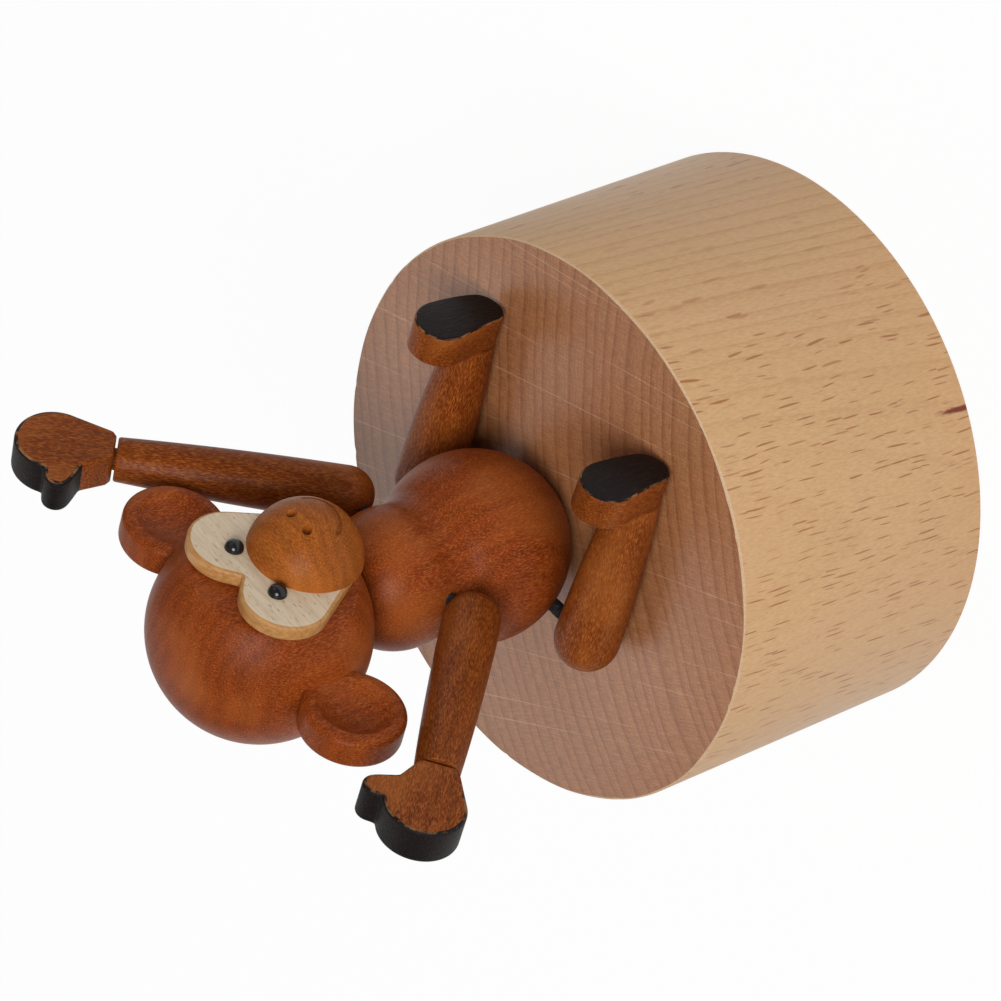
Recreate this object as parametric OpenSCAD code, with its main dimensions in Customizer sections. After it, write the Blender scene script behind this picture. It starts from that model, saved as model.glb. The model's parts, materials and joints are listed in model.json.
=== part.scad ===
// Wind-up music box: a jointed wooden toy monkey sits on a turned beech drum.
// The movement hangs under the roof of the drum. A spindle comes up through the roof
// and carries the figure, so turning the figure winds the spring and it turns as the tune plays.
// Millimetres, +Z up, origin on the table at the middle of the drum, the figure faces -Y.

/* [Drum] */
// Outside diameter of the wooden drum
drum_d = 80; // [72:1:100]
// Height of the wooden drum
drum_h = 44; // [40:1:60]
// Thickness of the wood left above the hollow
roof_t = 8; // [6:0.5:9]
// Thickness of the wall beside the hollow that holds the movement
wall_t = 7; // [6:0.25:8]
// Small chamfer on the sharp edges of the drum
drum_edge = 0.5; // [0.2:0.1:1.5]
// Thickness of the bottom cover
cover_t = 3; // [2:0.5:3]
// How far the bottom cover sits up inside the drum
cover_recess = 1; // [0.5:0.25:1.5]
// Width of the ledge that the bottom cover lies on
ledge_w = 3.5; // [3:0.25:4]

/* [Torso] */
// Radius of the belly ball
belly_r = 13.2; // [12.5:0.1:14]
// Radius of the chest ball
chest_r = 9.8; // [9.2:0.1:10.5]
// Distance from the middle of the belly to the middle of the chest
spine_len = 14; // [13:0.5:18]
// Radius of the hollow curve at the waist
waist_r = 6; // [4:0.5:10]
// Gap between the figure and the drum it turns on
seat_gap = 0.4; // [0.3:0.05:1]

/* [Head] */
// Radius of the ball the head is turned from
head_r = 15; // [14:0.25:16]
// How far the face flat lies in front of the middle of the head
face_flat = 9.8; // [9:0.1:11]
// Thickness of the pale face plate
face_t = 2.2; // [1.6:0.1:3]
// Radius of the muzzle where it meets the face plate
muzzle_r = 7.8; // [7:0.1:8.4]
// How far the muzzle stands out of the face plate
muzzle_len = 7; // [6:0.1:7.5]
// Radius of the ears
ear_r = 7; // [6:0.1:7.4]
// Thickness of the ears
ear_t = 4.6; // [3.6:0.1:5.4]
// Radius of the eye pins
eye_r = 1.3; // [0.9:0.1:1.7]

/* [Arms] */
// Radius of the ball at the shoulder end
arm_root_r = 3.9; // [3.6:0.1:4.4]
// Radius at the wrist
arm_tip_r = 3; // [2.6:0.1:3.3]
// Length from the shoulder joint to the wrist
arm_len = 31; // [28:0.5:34]
// Angle between each arm and the upright
arm_splay = 42; // [41:1:50]
// How far the right arm leans forward
right_arm_lean = 1; // [-20:1:20]
// How far the left arm leans forward
left_arm_lean = -5; // [-20:1:20]
// Thickness of the flat hands
hand_t = 5.2; // [4.2:0.1:6]
// Radius of the palm
palm_r = 5.5; // [4.8:0.1:6]

/* [Legs] */
// Radius of the ball at the hip end
leg_root_r = 4.5; // [4.2:0.1:4.8]
// Radius at the ankle
leg_tip_r = 3.1; // [2.8:0.1:3.4]
// Length from the hip joint to the ankle
leg_len = 25; // [22:0.5:28]
// Thickness of the feet along the leg
foot_t = 5.6; // [4.6:0.1:6.5]
// Height of the toes above the ankle
foot_rise = 7; // [5:0.25:9]
// How far a leg can be raised from the drum
hip_lift = 30; // [20:1:35]

/* [Joints] */
// Gap between two pieces that move against each other
joint_gap = 0.3; // [0.25:0.05:0.5]
// Clearance on the radius of a running fit
run_fit = 0.06; // [0.04:0.01:0.09]
// Radius of the elastic cords
cord_r = 1; // [0.8:0.05:1.2]
// Radius of the turned pegs at wrists and ankles
peg_r = 1.5; // [1.2:0.05:1.7]
// Length of the turned pegs at wrists and ankles
peg_len = 4; // [3:0.25:4.5]
// Radius of the neck peg
neck_r = 2.5; // [2:0.1:3]

/* [Movement] */
// Radius of the winding spindle
spindle_r = 2; // [1.8:0.05:2.1]
// Thickness of the bed plate
bed_t = 2.4; // [1.8:0.1:2.6]
// Radius of the pinned cylinder
cyl_r = 6; // [5.6:0.1:6]
// How far the pins stand out of the cylinder
pin_h = 0.5; // [0.3:0.05:0.5]
// Number of teeth on the comb
comb_n = 18; // [12:1:20]
// Thickness of the comb
comb_t = 0.8; // [0.6:0.1:1]
// Thickness of the mainspring strip
spring_t = 0.4; // [0.3:0.05:0.5]
// Thickness of the fan blade
fan_t = 0.5; // [0.3:0.05:0.8]

/* [Hidden] */
$fn = 72;
// Every separate piece, in the order it would be put together

// Colours
beech = [0.80, 0.64, 0.44];
stained = [0.46, 0.22, 0.09];
dark_stain = [0.14, 0.09, 0.08];
pale_wood = [0.86, 0.77, 0.62];
fibreboard = [0.35, 0.26, 0.18];
brass = [0.78, 0.62, 0.30];
steel = [0.60, 0.61, 0.63];
zinc = [0.66, 0.66, 0.66];
elastic = [0.10, 0.09, 0.09];

// Levels of the drum
hollow_r = drum_d / 2 - wall_t;
roof_z = drum_h - roof_t;
ledge_z = cover_recess + cover_t;
cover_r = hollow_r + ledge_w;
cover_fit = 0.1;

// Screws: shank radius, head radius and head thickness of each size
cover_screw = [0.8, 1.5, 0.8];
bed_screw = [1, 2, 0.9];
small_screw = [0.7, 1.4, 0.8];
cover_screw_ring = hollow_r + ledge_w / 2 - 0.2;
cover_screw_bite = 6;
bed_screw_bite = roof_t - 3;
small_screw_bite = 4;

// Crown wheel and the pinion on the cylinder shaft
crown_n = 36;
crown_r = 9;
crown_face = 1.4;
crown_disc_t = 1.6;
crown_hub_h = 2.25;
pinion_n = 12;
pinion_r = 3;
tooth_m = 0.5;

// Levels of the movement, hung from the roof. The spring case fills the depth left above the cover
axle_drop = 11;
case_clear = 2.4;
bed_z = roof_z - bed_t;
axle_z = roof_z - axle_drop;
crown_pitch_z = axle_z - pinion_r;
crown_disc_z = crown_pitch_z - 1.1 * tooth_m;
case_top = crown_disc_z - crown_disc_t - crown_hub_h;
case_bottom = ledge_z + case_clear;
case_r = 12;
case_wall = 0.8;
case_floor = 1;
lug_t = 1.2;
pillar_r = 1.9;
pillar_ring = case_r + pillar_r + 0.3;
pillar_angles = [110, 180, 250];
bed_back = 18.5;
bed_half = 20;
bed_screws = [[-14, 14], [-14, -14], [7, 17], [7, -17]];

// Gear on the cylinder, governor wheel and fan, all on arbors along X
shaft_r = 0.8;
arbor_r = 0.6;
gear_t = 1.1;
gear_n = 36;
gear_m = 0.4;
gear_r = gear_n * gear_m / 2;
gov_n = 9;
gov_r = gov_n * gear_m / 2;
gov_angle = 160;
gov_y = (gear_r + gov_r) * cos(gov_angle);
gov_z = axle_z + (gear_r + gov_r) * sin(gov_angle);
wheel_n = 30;
wheel_m = 0.3;
wheel_r = wheel_n * wheel_m / 2;
wheel_t = 1;
fan_n = 8;
fan_pinion_r = fan_n * wheel_m / 2;
fan_angle = 193;
fan_y = gov_y + (wheel_r + fan_pinion_r) * cos(fan_angle);
fan_z = gov_z + (wheel_r + fan_pinion_r) * sin(fan_angle);
fan_r = 4.4;

// Places along X: the arbors end just clear of the wall, the cylinder fills what is left
wall_clear = 0.7;
side_gap = 0.5;
plate_t = 1.1;
arbor_end = sqrt(pow(hollow_r - wall_clear, 2) - pow(fan_y - arbor_r, 2));
wheel_x = arbor_end - 0.2 - wheel_t;
gear_x = wheel_x - 0.4 - gear_t;
outer_plate_x = gear_x - 0.6 - plate_t;
inner_plate_x = crown_r + crown_face / 2 + side_gap;
cyl_x = inner_plate_x + plate_t + 0.4;
cyl_len = outer_plate_x - side_gap - cyl_x;
bearing_len = outer_plate_x + plate_t - inner_plate_x + 2;

// The comb reaches the pins from the +Y side
comb_tip = cyl_r + pin_h + 0.22;
comb_back = 18.6;
comb_foot = 15.9;
comb_screw_x = [cyl_x + 0.22 * cyl_len, cyl_x + 0.78 * cyl_len];
comb_screw_y = (comb_foot + comb_back) / 2;

// Levels of the figure
seat_z = drum_h + seat_gap;
belly_z = seat_z + belly_r - 1.3;
chest_z = belly_z + spine_len;
neck_z = chest_z + chest_r - 1.2;
chin_z = neck_z + joint_gap;
head_z = chin_z + head_r - 1.2;
spindle_top = belly_z - 0.3;
neck_socket = 5;
neck_reach = 7.5;

// Shoulders stand clear of the chest
limb_clear = 0.4;
shoulder_y = -3;
shoulder_z = chest_z - 1.8;
shoulder_reach = chest_r + arm_root_r + limb_clear;
shoulder_x = sqrt(pow(shoulder_reach, 2) - pow(shoulder_y, 2) - pow(chest_z - shoulder_z, 2));
// Hips stand far enough out for a raised leg to pass beside the belly
leg_dip = 2.6;
hip_y = 5;
hip_z = drum_h + leg_root_r + limb_clear;
hip_reach = belly_r + leg_root_r + joint_gap;
hip_pass = (belly_z - hip_z) * cos(hip_lift - leg_dip) - hip_y * sin(hip_lift - leg_dip);
hip_x = sqrt(pow(hip_reach, 2) - pow(hip_pass, 2));
// How far the elastic cords reach into the limbs
cord_grip = 2.3;
thumb_r = 2.1;
thumb_x = palm_r + 1.6;
thumb_z = 1.3 * palm_r;
foot_heel_r = leg_tip_r - 0.1;
ear_x = head_r + 4.5;
muzzle_drop = 4.6;

// A disc or tube standing on the XY plane
module tube(h, r, bore) {
    difference() {
        cylinder(h = h, r = r);
        translate([0, 0, -1])
            cylinder(h = h + 2, r = bore);
    }
}

// Turns a shape drawn standing on XY so that its axis lies along +X
module along_x() {
    rotate([90, 0, 90])
        children();
}

// Two circles joined by their outer tangents
module capsule(p, pr, q, qr) {
    d = norm(q - p);
    a = atan2(q[1] - p[1], q[0] - p[0]);
    b = acos((pr - qr) / d);
    translate(p)
        circle(r = pr);
    translate(q)
        circle(r = qr);
    polygon([p + pr * [cos(a + b), sin(a + b)],
             p + pr * [cos(a - b), sin(a - b)],
             q + qr * [cos(a - b), sin(a - b)],
             q + qr * [cos(a + b), sin(a + b)]]);
}

// Outline of a toothed wheel, one tooth centred on the angle given
module toothed(n, m, at) {
    r = n * m / 2;
    step = 360 / n;
    top = r + 0.8 * m;
    low = r - 1.1 * m;
    wide = 0.30 * step;
    narrow = 0.11 * step;
    polygon([for (i = [0 : n - 1]) for (c = [[low, -wide], [top, -narrow], [top, narrow], [low, wide]])
        c[0] * [cos(at + i * step + c[1]), sin(at + i * step + c[1])]]);
}

// A turned limb standing on +Z: a ball end whose side runs in by a parabola to a peg
module limb(root, tip, len) {
    steps = 6;
    rotate_extrude()
        intersection() {
            union() {
                circle(r = root);
                polygon(concat([[0, 0]],
                    [for (i = [0 : steps]) [root - (root - tip) * pow(i / steps, 2), len * i / steps]],
                    [[0, len]]));
            }
            translate([0, -root])
                square([root + 1, root + len]);
        }
    translate([0, 0, len - 1])
        cylinder(h = peg_len + 1, r = peg_r);
}

// A screw with its head under the XY plane and its shank on +Z
module screw(size, shank_len) {
    head_r = size[1];
    head_t = size[2];
    difference() {
        union() {
            cylinder(h = shank_len, r = size[0]);
            translate([0, 0, -head_t])
                cylinder(h = head_t, r = head_r);
        }
        translate([-head_r, -0.2, -head_t - 1])
            cube([2 * head_r, 0.4, 1 + head_t / 2]);
    }
}

// Drum and cover

module drum() {
    color(beech)
    difference() {
        rotate_extrude()
            polygon([[0, 0], [drum_d / 2 - drum_edge, 0], [drum_d / 2, drum_edge],
                     [drum_d / 2, drum_h - drum_edge], [drum_d / 2 - drum_edge, drum_h], [0, drum_h]]);
        translate([0, 0, -1])
            cylinder(h = 1 + roof_z, r = hollow_r);
        translate([0, 0, -1])
            cylinder(h = 1 + ledge_z, r = cover_r + cover_fit);
        translate([0, 0, roof_z - 1])
            cylinder(h = roof_t + 2, r = 2 * spindle_r);
        for (p = bed_screws)
            translate([p[0], p[1], roof_z - 1])
                cylinder(h = 1 + bed_screw_bite, r = bed_screw[0]);
        for (a = [30, 150, 270])
            rotate(a)
                translate([cover_screw_ring, 0, ledge_z - 1])
                    cylinder(h = 1 + cover_screw_bite, r = cover_screw[0]);
    }
}

module spindle_bush() {
    color(brass)
    translate([0, 0, roof_z])
        tube(roof_t, 2 * spindle_r, spindle_r + run_fit);
}

module bottom_cover() {
    color(fibreboard)
    translate([0, 0, cover_recess])
        difference() {
            cylinder(h = cover_t, r = cover_r);
            for (a = [30, 150, 270])
                rotate(a)
                    translate([cover_screw_ring, 0, -1]) {
                        cylinder(h = cover_t + 2, r = cover_screw[0]);
                        cylinder(h = 1 + cover_screw[2], r = cover_screw[1]);
                    }
        }
}

module cover_screws() {
    color(steel)
    for (a = [30, 150, 270])
        rotate(a)
            translate([cover_screw_ring, 0, cover_recess + cover_screw[2]])
                screw(cover_screw, cover_t - cover_screw[2] + cover_screw_bite);
}

// Movement

module bedplate() {
    color(zinc)
    difference() {
        union() {
            translate([0, 0, bed_z])
                linear_extrude(bed_t)
                    intersection() {
                        circle(r = hollow_r - 1.5);
                        translate([-bed_back, -bed_half])
                            square([bed_back + hollow_r, 2 * bed_half]);
                    }
            // pillars for the spring case
            for (a = pillar_angles)
                rotate(a)
                    translate([pillar_ring, 0, case_top])
                        cylinder(h = bed_z - case_top + 0.5, r = pillar_r);
            // bearing plates for the cylinder and the governor
            translate([inner_plate_x, fan_y - 2.4, axle_z - 1.8])
                cube([plate_t, 2.6 + 2.4 - fan_y, bed_z - axle_z + 2.3]);
            translate([outer_plate_x, fan_y - 2.4, axle_z - 2.4])
                cube([plate_t, 2.6 + 2.4 - fan_y, bed_z - axle_z + 2.9]);
            // block that the comb is screwed to
            translate([cyl_x, comb_foot, axle_z + comb_t / 2])
                cube([cyl_len, comb_back - comb_foot, bed_z - axle_z - comb_t / 2 + 0.5]);
        }
        translate([0, 0, bed_z - 1])
            cylinder(h = bed_t + 2, r = spindle_r + joint_gap);
        for (p = bed_screws)
            translate([p[0], p[1], bed_z - 1])
                cylinder(h = bed_t + 2, r = bed_screw[0]);
        for (a = pillar_angles)
            rotate(a)
                translate([pillar_ring, 0, case_top - 1])
                    cylinder(h = 1 + small_screw_bite, r = small_screw[0]);
        for (x = comb_screw_x)
            translate([x, comb_screw_y, axle_z - 1])
                cylinder(h = 1 + small_screw_bite, r = small_screw[0]);
        translate([inner_plate_x - 1, 0, axle_z])
            along_x()
                cylinder(h = bearing_len, r = shaft_r + run_fit);
        translate([inner_plate_x - 1, gov_y, gov_z])
            along_x()
                cylinder(h = bearing_len, r = arbor_r + run_fit);
        translate([inner_plate_x - 1, fan_y, fan_z])
            along_x()
                cylinder(h = bearing_len, r = arbor_r + run_fit);
    }
}

module bedplate_screws() {
    color(steel)
    for (p = bed_screws)
        translate([p[0], p[1], bed_z])
            screw(bed_screw, bed_t + bed_screw_bite);
}

module spring_case() {
    color(brass)
    translate([0, 0, case_bottom])
        difference() {
            union() {
                cylinder(h = case_top - case_bottom, r = case_r);
                for (a = pillar_angles)
                    rotate(a)
                        translate([0, 0, case_top - case_bottom - lug_t]) {
                            translate([case_r - 0.6, 0.2 - pillar_r, 0])
                                cube([pillar_ring - case_r + 0.6, 2 * pillar_r - 0.4, lug_t]);
                            translate([pillar_ring, 0, 0])
                                cylinder(h = lug_t, r = pillar_r + 0.2);
                        }
            }
            translate([0, 0, case_floor])
                cylinder(h = case_top, r = case_r - case_wall);
            translate([0, 0, -1])
                cylinder(h = case_floor + 2, r = spindle_r + run_fit);
            for (a = pillar_angles)
                rotate(a)
                    translate([pillar_ring, 0, 0])
                        cylinder(h = case_top, r = small_screw[0]);
        }
}

module case_screws() {
    color(steel)
    for (a = pillar_angles)
        rotate(a)
            translate([pillar_ring, 0, case_top - lug_t])
                screw(small_screw, lug_t + small_screw_bite);
}

// A flat spiral strip whose outer end lies on the wall of the case
module mainspring() {
    turns = 8;
    per_turn = 20;
    steps = turns * per_turn;
    outer = case_r - case_wall;
    inner = spindle_r + 1.2;
    function at(i, inset) = (outer - (outer - inner) * i / steps - inset)
        * [cos(i * 360 / per_turn), sin(i * 360 / per_turn)];
    color(steel)
    translate([0, 0, case_bottom + case_floor])
        linear_extrude(case_top - case_bottom - case_floor - 1.5)
            polygon(concat([for (i = [0 : steps]) at(i, 0)],
                           [for (i = [steps : -1 : 0]) at(i, spring_t)]));
}

module comb() {
    step = cyl_len / comb_n;
    color(steel)
    difference() {
        translate([cyl_x, comb_tip, axle_z - comb_t / 2])
            cube([cyl_len, comb_back - comb_tip, comb_t]);
        // slots get shorter from the low notes to the high ones
        for (i = [1 : comb_n - 1])
            translate([cyl_x + i * step - 0.16 * step, comb_tip - 1, axle_z - comb_t])
                cube([0.32 * step, 1 + 8.6 - 2.6 * i / comb_n, 2 * comb_t]);
        for (x = comb_screw_x)
            translate([x, comb_screw_y, axle_z - comb_t])
                cylinder(h = 2 * comb_t, r = small_screw[0]);
    }
}

module comb_screws() {
    color(steel)
    for (x = comb_screw_x)
        translate([x, comb_screw_y, axle_z - comb_t / 2])
            screw(small_screw, comb_t + small_screw_bite - 1);
}

module cylinder_body() {
    step = cyl_len / comb_n;
    difference() {
        translate([cyl_x, 0, axle_z])
            along_x()
                cylinder(h = cyl_len, r = cyl_r);
        translate([cyl_x - 1, 0, axle_z])
            along_x()
                cylinder(h = cyl_len + 2, r = shaft_r);
    }
    // three pins for every tooth, spread so that each row looks like a tune
    for (i = [0 : comb_n - 1])
        for (j = [0 : 2])
            translate([cyl_x + (i + 0.5) * step, 0, axle_z])
                rotate([77 * i + 120 * j + (i * i * 13) % 70, 0, 0])
                    translate([0, 0, cyl_r - 0.5])
                        cylinder(h = pin_h + 0.5, r = 0.2, $fn = 16);
}

module cylinder_node() {
    color(brass)
        cylinder_body();
}

module cylinder_shaft() {
    color(steel)
    translate([crown_r - crown_face / 2 - 0.5, 0, axle_z])
        along_x()
            cylinder(h = gear_x + gear_t + 0.4 - crown_r + crown_face / 2 + 0.5, r = shaft_r);
}

module cylinder_pinion() {
    color(brass)
    translate([crown_r - crown_face / 2, 0, axle_z])
        along_x()
            linear_extrude(crown_face)
                difference() {
                    toothed(pinion_n, tooth_m, 270);
                    circle(r = shaft_r);
                }
}

module cylinder_gear() {
    color(brass)
    translate([gear_x, 0, axle_z])
        along_x()
            linear_extrude(gear_t)
                difference() {
                    toothed(gear_n, gear_m, gov_angle);
                    circle(r = shaft_r);
                    for (a = [0 : 72 : 288])
                        rotate(a)
                            translate([gear_r * 0.56, 0])
                                circle(r = 1.4);
                }
}

module governor_arbor() {
    color(steel) {
        translate([inner_plate_x - 0.4, gov_y, gov_z])
            along_x()
                cylinder(h = arbor_end - inner_plate_x + 0.4, r = arbor_r);
        translate([gear_x, gov_y, gov_z])
            along_x()
                linear_extrude(gear_t)
                    toothed(gov_n, gear_m, gov_angle + 180 + 180 / gov_n);
    }
}

module governor_wheel() {
    color(brass)
    translate([wheel_x, gov_y, gov_z])
        along_x()
            linear_extrude(wheel_t)
                difference() {
                    toothed(wheel_n, wheel_m, fan_angle);
                    circle(r = arbor_r);
                    for (a = [0 : 72 : 288])
                        rotate(a)
                            translate([wheel_r * 0.55, 0])
                                circle(r = 0.9);
                }
}

module fan_arbor() {
    color(steel) {
        translate([inner_plate_x - 0.4, fan_y, fan_z])
            along_x()
                cylinder(h = arbor_end - inner_plate_x + 0.4, r = arbor_r);
        translate([wheel_x, fan_y, fan_z])
            along_x()
                linear_extrude(wheel_t)
                    toothed(fan_n, wheel_m, fan_angle + 180 + 180 / fan_n);
    }
}

module fan() {
    color(zinc)
    translate([inner_plate_x + plate_t + 1.5, fan_y, fan_z])
        along_x()
            difference() {
                union() {
                    linear_extrude(outer_plate_x - inner_plate_x - plate_t - 3)
                        square([fan_t, 2 * fan_r], center = true);
                    cylinder(h = outer_plate_x - inner_plate_x - plate_t - 3, r = 2 * arbor_r);
                }
                translate([0, 0, -1])
                    cylinder(h = outer_plate_x, r = arbor_r);
            }
}

module spindle() {
    color(steel)
    translate([0, 0, case_bottom + 0.3])
        cylinder(h = spindle_top - case_bottom - 0.3, r = spindle_r);
}

module great_wheel() {
    step = 2 * PI * crown_r / crown_n;
    color(brass)
    difference() {
        union() {
            translate([0, 0, crown_disc_z - crown_disc_t])
                cylinder(h = crown_disc_t, r = crown_r + crown_face / 2 + 0.3);
            translate([0, 0, case_top + joint_gap])
                cylinder(h = crown_disc_z - case_top - joint_gap, r = 2 * spindle_r);
            for (i = [0 : crown_n - 1])
                rotate((i + 0.5) * 360 / crown_n)
                    translate([crown_r - crown_face / 2, 0, crown_pitch_z])
                        along_x()
                            linear_extrude(crown_face)
                                polygon([[-0.30 * step, -1.2 * tooth_m], [-0.11 * step, 0.8 * tooth_m],
                                         [0.11 * step, 0.8 * tooth_m], [0.30 * step, -1.2 * tooth_m]]);
        }
        translate([0, 0, case_top - 1])
            cylinder(h = axle_z - case_top, r = spindle_r);
    }
}

// Figure

module torso() {
    a = belly_r + waist_r;
    b = chest_r + waist_r;
    up = (spine_len * spine_len + a * a - b * b) / (2 * spine_len);
    out = sqrt(a * a - up * up);
    color(stained)
    difference() {
        translate([0, 0, belly_z])
            rotate_extrude()
                intersection() {
                    difference() {
                        union() {
                            circle(r = belly_r);
                            translate([0, spine_len])
                                circle(r = chest_r);
                            polygon([[0, 0], [out, up], [0, spine_len]]);
                        }
                        translate([out, up])
                            circle(r = waist_r);
                    }
                    translate([0, seat_z - belly_z])
                        square([belly_r + 1, neck_z - seat_z]);
                }
        translate([0, 0, seat_z - 1])
            cylinder(h = 1 + spindle_top - seat_z, r = spindle_r);
        translate([0, 0, neck_z - neck_socket])
            cylinder(h = neck_socket + 1, r = neck_r);
        translate([-belly_r, shoulder_y, shoulder_z])
            along_x()
                cylinder(h = 2 * belly_r, r = cord_r);
        translate([-belly_r - 1, hip_y, hip_z])
            along_x()
                cylinder(h = 2 * belly_r + 2, r = cord_r);
    }
}

module neck_peg() {
    color(pale_wood)
    translate([0, 0, neck_z - neck_socket])
        cylinder(h = neck_socket + joint_gap + neck_reach, r = neck_r);
}

module shoulder_cord() {
    color(elastic)
    translate([-shoulder_x - cord_grip, shoulder_y, shoulder_z])
        along_x()
            cylinder(h = 2 * (shoulder_x + cord_grip), r = cord_r);
}

module hip_cord() {
    color(elastic)
    translate([-hip_x - cord_grip, hip_y, hip_z])
        along_x()
            cylinder(h = 2 * (hip_x + cord_grip), r = cord_r);
}

module head() {
    color(stained)
    difference() {
        translate([0, 0, head_z])
            sphere(r = head_r);
        translate([-head_r - 1, -face_flat - head_r, head_z - head_r - 1])
            cube([2 * head_r + 2, head_r, 2 * head_r + 2]);
        translate([-head_r, -head_r, chin_z - head_r])
            cube([2 * head_r, 2 * head_r, head_r]);
        translate([0, 0, chin_z - 1])
            cylinder(h = 1 + neck_reach + joint_gap, r = neck_r + run_fit);
    }
}

// Outline of the face plate: two brow lobes that run into a rounded chin
module face_outline() {
    capsule([-0.38 * head_r, 0.2 * head_r], 0.4 * head_r, [0, -0.3 * head_r], 0.48 * head_r);
    capsule([0.38 * head_r, 0.2 * head_r], 0.4 * head_r, [0, -0.3 * head_r], 0.48 * head_r);
}

// Lays a plate drawn on XY against the face flat, thickness towards -Y
module on_face() {
    translate([0, -face_flat, head_z])
        rotate([90, 0, 0])
            children();
}

module face_plate() {
    color(pale_wood)
    on_face()
        difference() {
            linear_extrude(face_t)
                face_outline();
            for (s = [-1, 1])
                translate([s * 0.31 * head_r, 0.24 * head_r, -1])
                    cylinder(h = face_t + 2, r = eye_r / 2);
        }
}

module eyes() {
    color(dark_stain)
    on_face()
        for (s = [-1, 1])
            translate([s * 0.31 * head_r, 0.24 * head_r, 0]) {
                cylinder(h = face_t, r = eye_r / 2);
                translate([0, 0, face_t])
                    intersection() {
                        sphere(r = eye_r);
                        translate([-eye_r, -eye_r, 0])
                            cube(2 * eye_r);
                    }
            }
}

module muzzle() {
    ball = (muzzle_r * muzzle_r + muzzle_len * muzzle_len) / (2 * muzzle_len);
    color(stained)
    on_face()
        translate([0, -muzzle_drop, face_t])
            intersection() {
                translate([0, 0, muzzle_len - ball])
                    difference() {
                        sphere(r = ball);
                        for (s = [-1, 1])
                            translate([s * 1.7, 2.6, ball - 2.2])
                                cylinder(h = 3, r = 0.6);
                        // carved smile, half a millimetre deep
                        difference() {
                            translate([0, 0.6, 0])
                                tube(ball + 1, 4.3, 3.7);
                            sphere(r = ball - 0.5);
                            translate([-ball, -0.8, 0])
                                cube(2 * ball);
                        }
                    }
                translate([-2 * ball, -2 * ball, 0])
                    cube(4 * ball);
            }
}

// Ear: a disc with rounded rim and a shallow dish, seated on the ball of the head
module ear(side) {
    soft = 1;
    color(stained)
    difference() {
        translate([side * ear_x, ear_t / 2 - 1, head_z])
            rotate([90, 0, 0])
                difference() {
                    rotate_extrude() {
                        square([ear_r - soft, ear_t]);
                        translate([0, soft])
                            square([ear_r, ear_t - 2 * soft]);
                        translate([ear_r - soft, soft])
                            circle(r = soft);
                        translate([ear_r - soft, ear_t - soft])
                            circle(r = soft);
                    }
                    translate([0, 0, ear_t + 1.15 * ear_r])
                        sphere(r = 1.36 * ear_r);
                }
        translate([0, 0, head_z])
            sphere(r = head_r);
    }
}

module right_ear() {
    ear(-1);
}

module left_ear() {
    ear(1);
}

// Places a limb drawn standing on +Z at a shoulder or a hip
module at_shoulder(side, lean) {
    translate([side * shoulder_x, shoulder_y, shoulder_z])
        rotate([lean, 0, 0])
            rotate([0, side * arm_splay, 0])
                children();
}

module at_hip(side) {
    translate([side * hip_x, hip_y, hip_z])
        rotate([90 + leg_dip, 0, 0])
            children();
}

// Blind hole from the inner face of a limb to just past the end of its cord
module cord_hole(side, root) {
    mirror([side < 0 ? 1 : 0, 0, 0])
        translate([-root - 1, 0, 0])
            along_x()
                cylinder(h = root + 1 + cord_grip + joint_gap, r = cord_r + run_fit);
}

module arm(side, lean) {
    color(stained)
    difference() {
        at_shoulder(side, lean)
            limb(arm_root_r, arm_tip_r, arm_len);
        translate([side * shoulder_x, shoulder_y, shoulder_z])
            cord_hole(side, arm_root_r);
    }
}

// Flat mitten: a round palm and a thumb, narrowed to the wrist
module hand(side, lean) {
    color(dark_stain)
    at_shoulder(side, lean)
        translate([0, 0, arm_len])
            difference() {
                intersection() {
                    translate([0, hand_t / 2, 0])
                        rotate([90, 0, 0])
                            linear_extrude(hand_t) {
                                capsule([0, 2], arm_tip_r, [-side * 0.6, 1.5 * palm_r], palm_r);
                                capsule([-side * 2, palm_r], thumb_r, [-side * thumb_x, thumb_z], thumb_r - 0.2);
                            }
                    rotate_extrude()
                        polygon([[0, joint_gap], [arm_tip_r, joint_gap], [palm_r + 4, palm_r + 1],
                                 [palm_r + 4, 3 * palm_r], [0, 3 * palm_r]]);
                }
                translate([0, 0, -1])
                    cylinder(h = 1 + peg_len + joint_gap, r = peg_r + run_fit);
            }
}

module right_arm() {
    arm(-1, right_arm_lean);
}

module right_hand() {
    hand(-1, right_arm_lean);
}

module left_arm() {
    arm(1, left_arm_lean);
}

module left_hand() {
    hand(1, left_arm_lean);
}

module leg(side) {
    color(stained)
    difference() {
        at_hip(side)
            limb(leg_root_r, leg_tip_r, leg_len);
        translate([side * hip_x, hip_y, hip_z])
            cord_hole(side, leg_root_r);
    }
}

// Egg-shaped foot with a rounded sole, toes up, heel turned about the leg
module foot(side) {
    sole = 30;
    color(dark_stain)
    at_hip(side)
        translate([0, 0, leg_len])
            difference() {
                intersection() {
                    translate([0, 0, joint_gap])
                        linear_extrude(foot_t)
                            capsule([0, 0], foot_heel_r, [0, foot_rise], foot_heel_r + 0.9);
                    translate([0, foot_rise / 2, joint_gap + foot_t - sole])
                        sphere(r = sole);
                }
                translate([0, 0, -1])
                    cylinder(h = 1 + peg_len + joint_gap, r = peg_r + run_fit);
            }
}

module right_leg() {
    leg(-1);
}

module right_foot() {
    foot(-1);
}

module left_leg() {
    leg(1);
}

module left_foot() {
    foot(1);
}

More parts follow.
